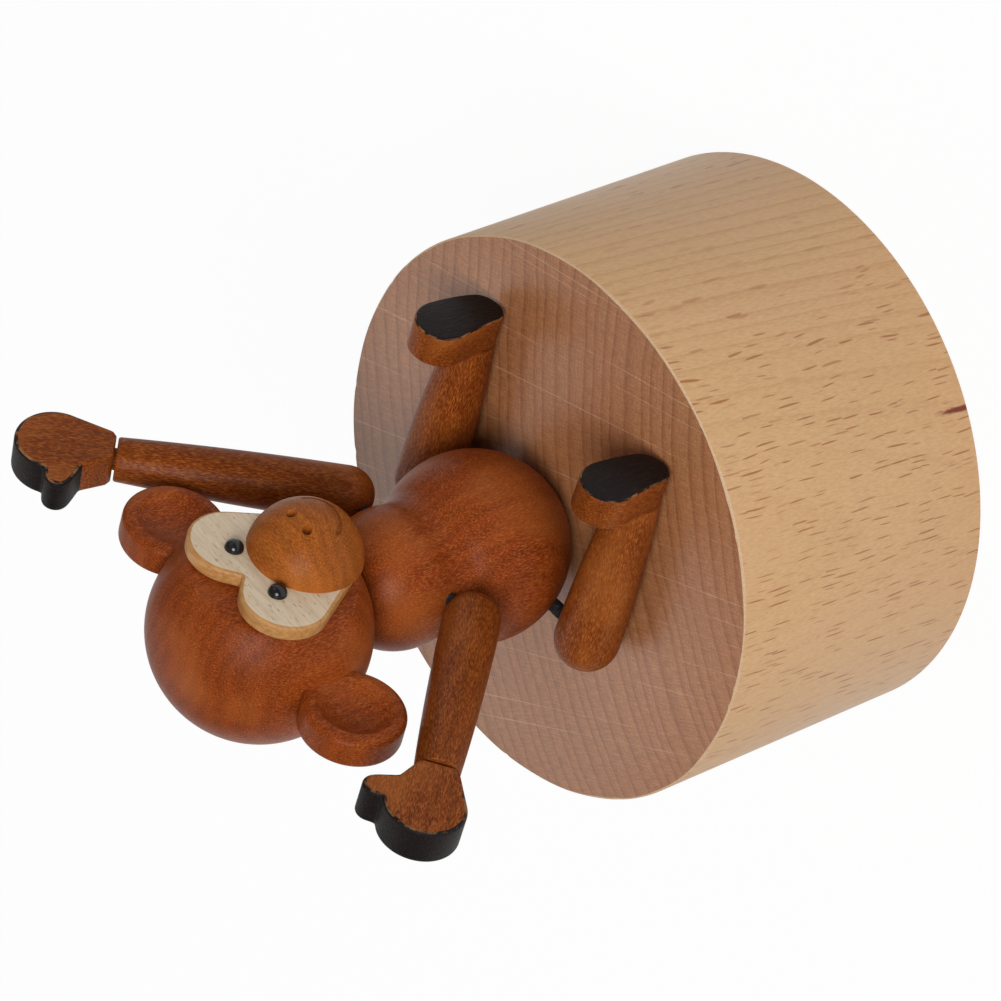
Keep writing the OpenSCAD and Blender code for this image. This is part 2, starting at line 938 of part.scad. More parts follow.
drum();
spindle_bush();
bottom_cover();
cover_screws();
bedplate();
bedplate_screws();
spring_case();
case_screws();
mainspring();
comb();
comb_screws();
cylinder_node();  // cylinder
cylinder_shaft();
cylinder_pinion();
cylinder_gear();
governor_arbor();
governor_wheel();
fan_arbor();
fan();
spindle();
great_wheel();
torso();
neck_peg();
shoulder_cord();
hip_cord();
head();
face_plate();
muzzle();
eyes();
right_ear();
left_ear();
right_arm();
right_hand();
left_arm();
left_hand();
right_leg();
right_foot();
left_leg();
left_foot();
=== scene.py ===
# %% [markdown]
# # A music box with a jointed wooden monkey
# The real object is a hollow beech drum with a clockwork movement inside. A small monkey of
# stained wood sits on top and turns with the winding spindle while the tune plays.
# The solid model gives every piece its size, its place and the body it moves with. This script
# gives the pieces their finish. Round wooden pieces are worked out again as finer surfaces,
# because a turned ball should have no corners, and each one takes the place of its solid.

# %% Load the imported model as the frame
import json
import math

import bpy
import numpy as np
from mathutils import Matrix, Vector


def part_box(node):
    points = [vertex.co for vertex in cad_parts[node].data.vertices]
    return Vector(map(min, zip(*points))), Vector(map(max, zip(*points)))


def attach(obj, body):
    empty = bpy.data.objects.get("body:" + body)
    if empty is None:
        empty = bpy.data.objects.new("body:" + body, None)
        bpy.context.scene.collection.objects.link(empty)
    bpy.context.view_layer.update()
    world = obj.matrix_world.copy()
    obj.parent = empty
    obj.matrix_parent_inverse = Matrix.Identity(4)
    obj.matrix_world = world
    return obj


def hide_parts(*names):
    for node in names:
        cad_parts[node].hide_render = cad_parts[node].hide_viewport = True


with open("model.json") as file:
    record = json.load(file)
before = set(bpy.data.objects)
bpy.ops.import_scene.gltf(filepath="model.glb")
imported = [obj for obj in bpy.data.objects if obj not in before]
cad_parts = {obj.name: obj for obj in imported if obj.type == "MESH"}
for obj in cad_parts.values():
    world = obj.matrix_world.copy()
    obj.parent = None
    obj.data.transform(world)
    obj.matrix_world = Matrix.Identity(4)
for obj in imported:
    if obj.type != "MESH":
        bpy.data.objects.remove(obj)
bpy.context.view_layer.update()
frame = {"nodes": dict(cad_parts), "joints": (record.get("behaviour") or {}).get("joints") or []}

MM = 0.001


# %% [markdown]
# ## Reading places from the frame
# A piece fits only if it is drawn from the same numbers as its solid. Sizes come from the box of
# a node, and places from the joints, so nothing has to be nudged by hand. All shapes below are
# worked out in millimetres and turned into metres when they become a mesh.

# %% Boxes and joints in millimetres
joints = {joint["name"]: joint for joint in frame["joints"]}


def node_box(name):
    """Lowest and highest corner of a CAD node at rest, in millimetres."""
    low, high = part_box(name)
    return np.array(low) / MM, np.array(high) / MM


def joint_place(name):
    """A point on a joint's axis, in millimetres, and the direction of the axis."""
    joint = joints[name]
    axis = np.array(joint["axis"], float)
    return np.array(joint["pos_m"]) / MM, axis / np.linalg.norm(axis)


def span(name):
    """Width, depth and height of a node's box, in millimetres."""
    low, high = node_box(name)
    return high - low


print("drum", span("drum").round(1), "head", span("head").round(1))

# %% [markdown]
# ## The camera
# The photograph looks down on the drum from the figure's front right, and the camera was turned on
# its side, so the drum leans across the picture. A camera is three angles, a distance and a point
# to look at. The angles are written down here and the matrix is worked out from them.

# %% Camera at the photograph's angle
CAMERA_AIM = np.array([3.33, -2.96, 49.53])
CAMERA_AZIMUTH = math.radians(-37.42)
CAMERA_ELEVATION = math.radians(36.18)
CAMERA_ROLL = math.radians(-110.96)
CAMERA_DISTANCE = 746.8
CAMERA_LENS = 199.38


def camera_matrix():
    """Rows of a camera matrix: the way back from the aim is set by azimuth and elevation,
    right and up are turned about it by the roll."""
    back = np.array([math.sin(CAMERA_AZIMUTH) * math.cos(CAMERA_ELEVATION),
                     -math.cos(CAMERA_AZIMUTH) * math.cos(CAMERA_ELEVATION),
                     math.sin(CAMERA_ELEVATION)])
    right = np.cross([0, 0, 1], back)
    right /= np.linalg.norm(right)
    up = np.cross(back, right)
    turned_right = right * math.cos(CAMERA_ROLL) + up * math.sin(CAMERA_ROLL)
    turned_up = np.cross(back, turned_right)
    matrix = np.eye(4)
    matrix[:3, :3] = np.stack([turned_right, turned_up, back], axis=1)
    matrix[:3, 3] = (CAMERA_AIM + back * CAMERA_DISTANCE) * MM
    return matrix


camera = bpy.data.objects.new("camera", bpy.data.cameras.new("camera"))
camera.data.lens = CAMERA_LENS
camera.data.sensor_width = 36
camera.data.clip_start = 0.05
camera.data.clip_end = 50
camera.matrix_world = Matrix(camera_matrix().tolist())
bpy.context.scene.collection.objects.link(camera)
bpy.context.scene.camera = camera
print("camera at", [round(v, 3) for v in camera.matrix_world.translation])

# %% [markdown]
# ## Surfaces from rings
# Almost every piece here is a stack of closed rings: a turned ball, a rod, a plate with soft edges.
# One function joins the rings with quads and closes each end in a fan round one point, so there are
# no open seams and no doubled points at the poles. Faces are turned outwards by the sign of the
# volume that they enclose.

# %% Join rings into a closed skin
def skin(rings, first=None, last=None):
    """Joins rings[i, j], point j of ring i, into one closed surface. first and last are the points
    that close the ends in fans. Without them the last ring joins the first.
    Gives the points, the faces and the ring that each face starts from."""
    rows, cols = rings.shape[:2]
    loop = first is None
    ring, side = np.meshgrid(np.arange(rows if loop else rows - 1), np.arange(cols), indexing="ij")
    here, above, after = ring * cols, (ring + 1) % rows * cols, (side + 1) % cols
    quads = np.stack([here + side, here + after, above + after, above + side], -1).reshape(-1, 4)
    points = rings.reshape(-1, 3)
    if loop:
        return points, quads.tolist(), ring.ravel()
    points = np.vstack([points, first, last])
    around = np.arange(cols)
    beside = (around + 1) % cols
    top = (rows - 1) * cols
    tip = np.full(cols, rows * cols)
    fans = np.vstack([np.stack([tip, beside, around], -1),
                      np.stack([tip + 1, top + around, top + beside], -1)])
    starts = np.concatenate([ring.ravel(), np.full(cols, -1), np.full(cols, rows - 1)])
    return points, quads.tolist() + fans.tolist(), starts


def outward(points, faces):
    """The faces turned outwards, and the volume inside: a sixth of the sum of a . (b x c) over
    triangles. Where that is negative the faces pointed inwards and are reversed."""
    triangles = np.array([(f[0], f[k], f[k + 1]) for f in faces for k in range(1, len(f) - 1)])
    a, b, c = (points[triangles[:, k]] for k in range(3))
    volume = np.einsum("ij,ij->i", a, np.cross(b, c)).sum() / 6
    return ([f[::-1] for f in faces] if volume < 0 else faces), abs(volume)


# %% [markdown]
# ## Profiles for turned work
# A turner thinks in profiles: the outline of half the piece, spun round its axis. A profile here is
# a list of (radius, height) rows made of arcs and straight runs. Turning it is one multiplication
# of the radii by a circle, done for all the points at once.

# %% Arcs, paths and turning
SAME_POINT = 1e-4


def arc(centre, radius, start, end, count):
    """Points on a circle from angle start to angle end, in degrees, as (radius, height) rows."""
    angle = np.radians(np.linspace(start, end, count))
    return np.stack([centre[0] + radius * np.cos(angle), centre[1] + radius * np.sin(angle)], -1)


def path(*parts):
    """Joins stretches of a profile and drops a point that repeats the one before it."""
    rows = np.vstack([np.atleast_2d(np.array(part, float)) for part in parts])
    steps = np.linalg.norm(np.diff(rows, axis=0), axis=1)
    return rows[np.concatenate([[True], steps > SAME_POINT])]


def angles(columns):
    """Equal steps once round a circle, in radians."""
    return np.linspace(0, 2 * np.pi, columns, endpoint=False)


def circle(columns):
    """Unit vectors round +Z, one for each column."""
    angle = angles(columns)
    return np.stack([np.cos(angle), np.sin(angle), np.zeros(columns)], -1)


def turned(profile, columns):
    """Turns a profile that starts and ends on the axis: point (i, j) is r_i times the circle's
    point j, raised by h_i."""
    lift = profile[1:-1, None, 1:] * np.array([0, 0, 1])
    rings = profile[1:-1, None, :1] * circle(columns) + lift
    return skin(rings, [0, 0, profile[0, 1]], [0, 0, profile[-1, 1]])


ball = turned(arc((0, 0), 1, -90, 90, 33), columns=64)
print("a test ball encloses", round(outward(ball[0], ball[1])[1], 4), "of", round(4 * np.pi / 3, 4))

# %% [markdown]
# ## From points to a piece
# A finished piece is a mesh at the origin whose place is in its points. It also carries an attribute
# named blank: where each point lay in the block of wood that the piece was cut from, in millimetres,
# with Z along the grain. A wood material reads it, so the grain runs along a tilted arm just as
# it does in a turned rod, and it stays with the piece when the piece moves. No two pieces were cut
# from the same place in the timber, so each blank is moved by a step of its own.

# %% Make a piece and tie it to its body
CREASE = math.radians(32)
CUT_FROM = {
    "torso": (31, 12, 0), "head": (-47, 23, 15), "face_plate": (5, 40, 9), "muzzle": (62, -14, 33),
    "right_ear": (-17, 51, -8), "left_ear": (17, 51, 8),
    "right_arm": (13, 7, 0), "left_arm": (71, -15, 82),
    "right_leg": (42, -4, 41), "left_leg": (100, -26, 123),
    "right_hand": (90, 35, 0), "left_hand": (111, 35, 11),
    "right_foot": (70, 19, 60), "left_foot": (93, 19, 60)}


def piece(name, surface, body, node, finishes, blank=None, finish_of_face=None):
    """Puts a skin into a mesh, gives it its blank and finishes, and lets it ride on a body in place
    of a node."""
    points = surface[0]
    faces, volume = outward(points, surface[1])
    mesh = bpy.data.meshes.new(name)
    mesh.from_pydata((points * MM).tolist(), [], faces)
    blank = (points if blank is None else blank) + np.array(CUT_FROM.get(node, (0, 0, 0)))
    place = mesh.attributes.new("blank", "FLOAT_VECTOR", "POINT")
    place.data.foreach_set("vector", np.ascontiguousarray(blank, dtype=np.float32).ravel())
    for finish in finishes:
        mesh.materials.append(finish)
    if finish_of_face is not None:
        mesh.polygons.foreach_set("material_index", np.asarray(finish_of_face, dtype=np.int32))
    mesh.shade_smooth()
    mesh.set_sharp_from_angle(angle=CREASE)
    made = bpy.data.objects.new(name, mesh)
    bpy.context.scene.collection.objects.link(made)
    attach(made, body)
    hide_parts(node)
    print(name, "rides on", body, len(faces), "faces,", round(volume), "mm3")


# %% [markdown]
# ## Materials are small graphs
# A wood finish is a few textures added together. Writing each node out in full hides the idea, so
# short helpers carry the graphs: one adds any node and feeds its inputs, and the rest name what is
# used again and again. They all work on the material that lies on the bench, which is the one that was
# started last. A number that is the same all over is set on the shader itself.

# %% Adding nodes
bench = {}


def new_material(name):
    """Lays a new, empty material on the bench."""
    bench["material"] = bpy.data.materials.new(name)
    bench["material"].use_nodes = True
    bench["tree"] = bench["material"].node_tree
    bench["tree"].nodes.clear()


def add(kind, *inputs, out=0, **named):
    """Adds a node and gives back one output. Inputs are sockets to link or plain values. A name with a
    capital letter feeds the input of that name, any other name is a setting of the node."""
    tree = bench["tree"]
    node = tree.nodes.new("ShaderNode" + kind)
    for key in filter(str.islower, named):
        setattr(node, key, named[key])
    feeds = list(zip(node.inputs, inputs))
    feeds += [(node.inputs[key], value) for key, value in named.items() if not key.islower()]
    for socket, value in feeds:
        if isinstance(value, bpy.types.NodeSocket):
            tree.links.new(value, socket)
        elif value is not None:
            socket.default_value = value
    return node.outputs[out]


def calc(operation, *values, clamp=False):
    """A Math node."""
    return add("Math", *values, operation=operation, use_clamp=clamp)


def vector(operation, *values, out=0):
    """A Vector Math node. Output 0 is a vector, output 1 a number."""
    return add("VectorMath", *values, operation=operation, out=out)


def scaled(place, x, y, z):
    """A vector with each part multiplied."""
    return vector("MULTIPLY", place, (x, y, z))


def fit(value, start, end, low, high, smooth=False):
    """Runs from low to high while value runs from start to end, and holds still outside."""
    how = "SMOOTHSTEP" if smooth else "LINEAR"
    return add("MapRange", value, start, end, low, high, interpolation_type=how)


# %% Mixing colours
def with_alpha(colour):
    """Four numbers for a colour of three, or for a grey of one. A socket stays as it is."""
    if isinstance(colour, bpy.types.NodeSocket):
        return colour
    return (*colour, 1) if isinstance(colour, tuple) else (colour, colour, colour, 1)


def mix(factor, a, b, how="MIX"):
    """Mixes two colours. The node has five inputs for numbers and vectors before its colours."""
    skipped = [None] * 5
    return add("Mix", factor, *skipped, with_alpha(a), with_alpha(b), out=2, data_type="RGBA",
               blend_type=how)


def ramp(value, *stops):
    """A colour ramp through (place, colour) stops. A single number stands for a grey."""
    colour = add("ValToRGB", value)
    elements = colour.node.color_ramp.elements
    while len(elements) < len(stops):
        elements.new(1)
    for element, (place, tone) in zip(elements, stops):
        element.position = place
        element.color = with_alpha(tone)
    return colour


def tint(wood, value, share, colour):
    """Lays a colour over the wood, as strong as value times share."""
    return mix(calc("MULTIPLY", value, share), wood, colour)


def overlay(wood, share, value, dark, light):
    """Darkens and lightens the wood by a pattern, made grey by two (place, grey) stops."""
    return mix(share, wood, ramp(value, dark, light), "OVERLAY")


# %% Noise and where it is read
def place_in_blank():
    """The blank attribute, in millimetres, Z along the grain."""
    return add("Attribute", attribute_type="GEOMETRY", attribute_name="blank", out=1)


def place_on_object():
    """Object coordinates, in metres, for a solid that has no blank."""
    return add("TexCoord", out=3)


def noise(place, detail=2.0, roughness=0.5, out=0):
    """Noise with one lump to each unit of the vector. Output 0 is a number, output 1 a colour."""
    return add("TexNoise", place, Scale=1.0, Detail=detail, Roughness=roughness, out=out)


def lumps(place, across, along, detail=2.0, roughness=0.5, out=0):
    """Noise with so many lumps to a unit across the grain, and so many along it."""
    return noise(scaled(place, across, across, along), detail, roughness, out)


# %% Shaders
def shown(surface):
    """Links a surface to the output of the material on the bench and gives back the material."""
    tree = bench["tree"]
    tree.links.new(surface, tree.nodes.new("ShaderNodeOutputMaterial").inputs[0])
    return bench["material"]


def dressed(colour, rough, relief=None, **constants):
    """Gives the material one Principled shader: its colour, its roughness from (value, gain, base), which
    is value times gain plus base, its bump from (height, depth in millimetres, strength), and sockets
    that stay the same all over."""
    named = {key.replace("_", " "): value for key, value in constants.items()}
    if relief:
        height, depth, strength = relief
        named["Normal"] = add("Bump", Strength=strength, Distance=depth * MM, Height=height)
    named["Base Color"] = colour
    named["Roughness"] = calc("MULTIPLY_ADD", *rough)
    return shown(add("BsdfPrincipled", **named))


# %% [markdown]
# ## Beech: rings and rays
# Beech is told by its rays: thin upright sheets that run from the pith to the bark. Cut across their
# ends, as on the front of the drum, they are short brown dashes. Cut along their side they are broad
# slanted flecks, and on end grain they are fine pale lines. All three come from one model if the
# texture is worked out in the log's own coordinates: rho, the distance from the pith, t, the way
# round the rings, and z along the trunk. Each ray is a flat ellipsoid in those coordinates. Growth
# rings are a sawtooth in rho. Painting dashes on by hand would look right from one side only.

# %% Coordinates of the log
RING_WIDTH = 2.35
RING_UNEVEN = 1.1
RING_WANDER = (3.4, 2.2, 0)
PITH_AWAY = 107.0
PITH_ANGLE = math.radians(32)
RAY_CENTRE = (-81.4, 24.8, 0)
RAY_AWAY = 190.0


def log_coordinates():
    """rho, t and z in millimetres. rho is the distance from the pith, bent a little by slow noise. The
    stem grew unevenly, so its rays run from a centre of their own: t is the angle round that centre
    times the centre's distance from the drum, and a ray is a line of constant t."""
    blank = place_in_blank()
    slow = lumps(blank, 0.045, 0.012, out=1)
    centred = vector("SUBTRACT", slow, (0.5, 0.5, 0.5))
    bent = vector("ADD", scaled(centred, *RING_WANDER), blank)
    rho = vector("LENGTH", scaled(bent, 1, 1, 0), out=1)
    x, y, z = add("SeparateXYZ", vector("SUBTRACT", blank, RAY_CENTRE)).node.outputs
    t = calc("MULTIPLY", calc("ARCTAN2", y, x), RAY_AWAY)
    return blank, rho, t, z


def growth_rings(rho):
    """0 in early wood, rising to 1 in the late wood that ends each ring, with uneven widths."""
    uneven = add("TexNoise", W=calc("MULTIPLY", rho, 0.16), Scale=1.0, Detail=1.0, noise_dimensions="1D")
    place = calc("MULTIPLY_ADD", uneven, RING_UNEVEN, calc("DIVIDE", rho, RING_WIDTH))
    return calc("FRACT", place)


print("rings of about", RING_WIDTH, "mm, pith", PITH_AWAY, "mm from the drum's axis")

# %% Rays as flat ellipsoids
RAY_LEAN = 0.7
RAY_SIZES = (0.55, 0.50)
RAY_EDGE = (1.05, 0.6)
RAY_FAINT = (0.12, 0.5)


def rays(rho, t, z, across, along, deep, thick, tall, long):
    """1 inside a ray and 0 outside. Space is cut into Voronoi cells, across x along x deep mm each,
    with one ray at each cell's middle: (dt / thick)^2 + (dz / tall)^2 + (drho / long)^2 < 1. z leans
    with rho, so a ray cut along its side is a slanted fleck. The cell's colour makes some rays shorter
    and some faint."""
    leaning = calc("MULTIPLY_ADD", rho, RAY_LEAN, z)
    cell = add("CombineXYZ", calc("DIVIDE", t, across), calc("DIVIDE", leaning, along),
               calc("DIVIDE", rho, deep))
    voronoi = add("TexVoronoi", cell, Scale=1.0, Randomness=1.0).node
    away = vector("SUBTRACT", cell, voronoi.outputs["Position"])
    away = scaled(away, across / thick, along / tall, deep / long)
    chance = add("SeparateXYZ", voronoi.outputs["Color"])
    size = calc("MULTIPLY_ADD", chance, *RAY_SIZES)
    reach = calc("DIVIDE", vector("LENGTH", away, out=1), size)
    inside = fit(reach, *RAY_EDGE, 0.0, 1.0, smooth=True)
    strong = fit(chance.node.outputs[1], *RAY_FAINT, 0.0, 1.0)
    return calc("MULTIPLY", inside, strong)


# %% [markdown]
# The side of the drum is the lightest wood on the object: honey cream. Where it cuts across the rays
# they are short red-brown dashes and the rings hardly show. Where it runs along the rays the dashes
# fade and the rings are fine lines. One number, how squarely the side cuts the rays, governs both. The
# finish is a thin oil, so the pores still show.

# %% How squarely the side cuts the rays
def cut_across(blank):
    """How squarely the side cuts the rays: the direction out from the drum's axis, taken where the axis
    meets the top, times the direction of the rays, with the sign dropped. 0 is along them."""
    ways = []
    for centre in ((PITH_AWAY, 0, 0), RAY_CENTRE):
        away = vector("SUBTRACT", blank, centre)
        ways.append(vector("NORMALIZE", scaled(away, 1, 1, 0)))
    return calc("ABSOLUTE", vector("DOT_PRODUCT", *ways, out=1))


# %% Beech on the side of the drum
SIDE_EARLY, SIDE_CALM, SIDE_TONE = (0.65, 0.400, 0.200), (0.635, 0.385, 0.189), (0.60, 0.335, 0.146)
DASH_BROWN = (0.33, 0.104, 0.024)
DASH_SWAY = 1.6
STREAK_RED = (0.19, 0.019, 0.002)
STREAK_SHAPE = (1.8, 1.8, 0.1)


def beech_side(streak):
    """Cream wood, soft stripes from the rings, brown dashes from the rays, pores as short streaks, and
    one dark streak, a long ellipsoid round a point of the log."""
    new_material("beech_side")
    blank, rho, t, z = log_coordinates()
    wood = ramp(growth_rings(rho), (0.0, SIDE_EARLY), (0.55, (0.640, 0.388, 0.190)),
                (0.84, (0.590, 0.340, 0.156)), (0.94, (0.530, 0.288, 0.124)), (1.0, SIDE_EARLY))
    square = cut_across(blank)
    wood = mix(fit(square, 0.35, 0.85, 0.1, 0.75), wood, SIDE_CALM)
    wood = tint(wood, lumps(blank, 0.07, 0.02, detail=1.0), 0.5, SIDE_TONE)
    pores = lumps(blank, 4.5, 0.9, detail=3.0, roughness=0.6)
    wood = overlay(wood, 0.20, pores, (0.35, 0.25), (0.65, 0.75))
    sway = lumps(blank, 0.14, 0.09, detail=1.0)
    swayed = calc("MULTIPLY_ADD", sway, DASH_SWAY, t)
    dash = rays(rho, swayed, z, across=1.4, along=3.6, deep=0.9, thick=0.18, tall=2.4, long=0.6)
    dash = calc("MULTIPLY", dash, fit(square, 0.15, 0.6, 0.2, 1.0))
    wood = tint(wood, dash, 0.82, DASH_BROWN)
    away = scaled(vector("SUBTRACT", blank, streak), *STREAK_SHAPE)
    ragged = calc("MULTIPLY_ADD", pores, 0.9, vector("LENGTH", away, out=1))
    wood = mix(fit(ragged, 1.45, 0.85, 0.0, 1.0, smooth=True), wood, STREAK_RED)
    grain = calc("SUBTRACT", calc("MULTIPLY", pores, 0.6), dash)
    return dressed(wood, (pores, 0.16, 0.36), (grain, 0.03, 0.5), Specular_IOR_Level=0.5)


# %% [markdown]
# The top shows end grain. It drinks more oil, so it is darker and redder than the side, its rings are
# soft bands that darken outwards, and the rays are hair-thin lines, pale and dark, that cross the bands.
# The oil was laid on until it stood on the surface, so the top is glossier than the side: seen at a
# slant it has a pale veil, which the figure's reflection darkens again.

# %% Rays on end grain
HAIR_WIDTHS = (0.002, 0.022)


def hairlines(rho, t, spacing, shift):
    """Thin lines of constant t, about spacing mm apart at uneven places: 1 where the distance to the
    nearest point of a one-dimensional Voronoi is under a width, which swells and fades along rho."""
    place = calc("MULTIPLY_ADD", t, 1 / spacing, shift)
    line = add("TexVoronoi", W=place, Scale=1.0, voronoi_dimensions="1D")
    fade = noise(add("CombineXYZ", place, calc("MULTIPLY", rho, 0.045)), detail=1.0)
    width = fit(fade, 0.40, 0.66, *HAIR_WIDTHS)
    return calc("SUBTRACT", 1.0, calc("DIVIDE", line, width), clamp=True)


# %% Beech end grain on the top of the drum
END_EARLY, END_TONE = (0.408, 0.177, 0.073), (0.345, 0.128, 0.047)
HAIR_DARK, HAIR_PALE = (0.23, 0.078, 0.025), (0.64, 0.42, 0.25)


def beech_end():
    """Reddish wood, a soft dark band at the end of each ring, a speckle of pores, rays as dark and pale
    hairlines, and two noises, one long along the rays and one long round the rings."""
    new_material("beech_end")
    blank, rho, t, _ = log_coordinates()
    wood = ramp(growth_rings(rho), (0.0, END_EARLY), (0.45, (0.394, 0.166, 0.066)),
                (0.72, (0.350, 0.136, 0.050)), (0.87, (0.280, 0.098, 0.032)), (1.0, END_EARLY))
    wood = tint(wood, lumps(blank, 0.06, 0.06, detail=1.0), 0.5, END_TONE)
    speckle = lumps(blank, 5.0, 5.0, detail=3.0, roughness=0.7)
    wood = overlay(wood, 0.40, speckle, (0.3, 0.12), (0.7, 0.88))
    for spacing, shift, share, colour in ((2.9, 40.0, 0.45, HAIR_DARK), (5.2, 0.0, 0.55, HAIR_PALE)):
        wood = tint(wood, hairlines(rho, t, spacing, shift), share, colour)
    for round_rings, along_rays, share in ((3.4, 0.5, 0.27), (0.6, 3.0, 0.22)):
        place = add("CombineXYZ", calc("MULTIPLY", t, round_rings), calc("MULTIPLY", rho, along_rays))
        wood = overlay(wood, share, noise(place, roughness=0.6), (0.3, 0.2), (0.7, 0.8))
    return dressed(wood, (speckle, 0.2, 0.32), (speckle, 0.03, 0.4), Specular_IOR_Level=0.85)


finish_end = beech_end()
print("end grain:", finish_end.name)

# %% [markdown]
# The sharp rim was sanded by hand after the rest. Sanding opens the fibres again, so the narrow chamfer
# is pale and has no dashes, and it is made paler still, the palest wood on the drum, as a painted highlight
# of the light that the edge catches. One noise that is even in all directions is enough for such a narrow
# strip, and a few other small pieces will use the same plain recipe.

# %% Sanded rim and its painted highlight
def two_tone(name, place_of, scale, detail, dark, light, rough, relief=None, grit=0.5, **constants):
    """One noise between two colours, which also moves the roughness, given as (gain, base), and the
    bump, given as (depth, strength). place_of adds the coordinates that it reads, grit is its fine share."""
    new_material(name)
    value = noise(scaled(place_of(), *scale), detail, grit)
    colour = ramp(value, (0.3, dark), (0.7, light))
    return dressed(colour, (value, *rough), relief and (value, *relief), **constants)


# Pale colours: sanding wear on the chamfer, and a painted highlight along the edge.
finish_rim_wear_and_highlight = two_tone("sanded_rim_and_highlight", place_in_blank, (3.5, 3.5, 3.5), 3.0, (0.59, 0.375, 0.215),
                      (0.72, 0.510, 0.330), rough=(0.2, 0.48), relief=(0.04, 0.6), grit=0.6,
                      Specular_IOR_Level=0.25)
print("rim:", finish_rim_wear_and_highlight.name)

# %% [markdown]
# ## The drum
# The drum is one turned block: a tall side, a flat top, a shallow rebate underneath for the cover and
# a hollow for the movement. A lathe profile that closes on itself gives all of it, inside and out.
# The small chamfer at the rims is what catches the light, and on the real one it is a little uneven
# where the grain broke. Its width is therefore a function of the angle, not a constant.

# %% Uneven chamfer
DRUM_COLUMNS = 720
DRUM_CHAMFER = 0.24
RIPPLE = 0.08
CHIPS, CHIP_SEED = 14, 11
CHIP_DEPTHS, CHIP_SPREADS = (0.04, 0.16), (0.008, 0.02)


def chamfer_width(columns):
    """Width of the chamfer round the rim: the plain width, a slow ripple, and a few chips, each a
    narrow bell curve in the angle."""
    angle = angles(columns)
    chance = np.random.default_rng(CHIP_SEED)
    middle = chance.uniform(0, 2 * np.pi, CHIPS)
    depth = chance.uniform(*CHIP_DEPTHS, CHIPS)
    spread = chance.uniform(*CHIP_SPREADS, CHIPS)
    away = (angle[:, None] - middle + np.pi) % (2 * np.pi) - np.pi
    chips = (depth * np.exp(-(away / spread) ** 2)).sum(axis=1)
    return DRUM_CHAMFER + RIPPLE * np.sin(5 * angle) * np.sin(13 * angle + 1) + chips


rim_width = chamfer_width(DRUM_COLUMNS)
print("chamfer from", rim_width.min().round(2), "to", rim_width.max().round(2), "mm")

# %% Turn the drum
DRUM_WALL = 7
COVER_GAP = 0.1
RIM_SOFT = 0.12
FOOT_SOFT, FOOT_BREAK = 0.06, DRUM_CHAMFER * 1.2
drum_r, drum_h = span("drum")[0] / 2, node_box("drum")[1][2]
ledge_z = node_box("bottom_cover")[1][2]
rebate_r = span("bottom_cover")[0] / 2 + COVER_GAP
bush_r = span("spindle_bush")[0] / 2
roof_z = node_box("spindle_bush")[0][2]
hollow_r = drum_r - DRUM_WALL


def drum_surface():
    """Rings of the drum as a closed loop. Each row is (radius, chamfer share of the radius, height,
    chamfer share of the height), so the width of the chamfer can differ from column to column."""
    rows = np.array([
        [bush_r, 0, drum_h, 0], [drum_r / 2, 0, drum_h, 0], [drum_r, -1 - RIM_SOFT, drum_h, 0],
        [drum_r, -1, drum_h, -RIM_SOFT / 2], [drum_r, -1 + RIM_SOFT, drum_h, -RIM_SOFT],
        [drum_r, -RIM_SOFT, drum_h, -1 + RIM_SOFT], [drum_r, -RIM_SOFT / 2, drum_h, -1],
        [drum_r, 0, drum_h, -1 - RIM_SOFT], [drum_r, 0, drum_h / 2, 0], [drum_r, 0, FOOT_BREAK, 0],
        [drum_r - FOOT_SOFT, 0, DRUM_CHAMFER, 0], [drum_r - DRUM_CHAMFER, 0, FOOT_SOFT, 0],
        [drum_r - FOOT_BREAK, 0, 0, 0], [rebate_r, 0, 0, 0], [rebate_r, 0, ledge_z, 0],
        [hollow_r, 0, ledge_z, 0], [hollow_r, 0, roof_z, 0], [bush_r, 0, roof_z, 0]])
    radius = rows[:, 0:1] + rows[:, 1:2] * rim_width
    height = rows[:, 2:3] + rows[:, 3:4] * rim_width
    return skin(radius[..., None] * circle(DRUM_COLUMNS) + height[..., None] * np.array([0, 0, 1]))


print("drum radius", round(drum_r, 1), "hollow", round(hollow_r, 1), "roof at", round(roof_z, 1), "mm")

# %% [markdown]
# The drum was not cut from the middle of the log: the rings on its top are nearly straight, so the
# pith lies well outside. The blank attribute moves the drum's points into the log, with X pointing
# away from the pith. The block was also sawn a little askew, so the dashes lean from the drum's axis,
# most on the front and the back and hardly at all on the left and the right. Level faces are end grain
# and the chamfer is sanded and carries a painted highlight, so the rows of the profile decide the finish of
# a face.

# %% Drum in its log
GRAIN_DRIFT = (0.125, -0.011)
LEVEL_ROWS = [0, 1, 12, 14, 16]
RIM_ROWS = [2, 3, 4, 5]
STREAK_ANGLE, STREAK_OUT = math.radians(-136.4), 0.15
streak_r = drum_r + STREAK_OUT


def drum_blank(points):
    """Takes off the way the grain drifts between a point and the drum's top, turns the points about Z so
    that X runs away from the pith, then moves them out from it."""
    c, s = math.cos(PITH_ANGLE), math.sin(PITH_ANGLE)
    flat = points[:, :2] - (points[:, 2:] - drum_h) * GRAIN_DRIFT
    x = flat[:, 0] * c + flat[:, 1] * s + PITH_AWAY
    y = flat[:, 1] * c - flat[:, 0] * s
    return np.stack([x, y, points[:, 2]], -1)


streak_foot = np.array([[streak_r * math.cos(STREAK_ANGLE), streak_r * math.sin(STREAK_ANGLE), 0]])
finish_side = beech_side(tuple(drum_blank(streak_foot)[0].tolist()))
drum_skin = drum_surface()
drum_finish = np.select([np.isin(drum_skin[2], LEVEL_ROWS), np.isin(drum_skin[2], RIM_ROWS)], [1, 2], 0)
piece("drum_wood", drum_skin, "base", "drum", [finish_side, finish_end, finish_rim_wear_and_highlight],
      drum_blank(drum_skin[0]), drum_finish)

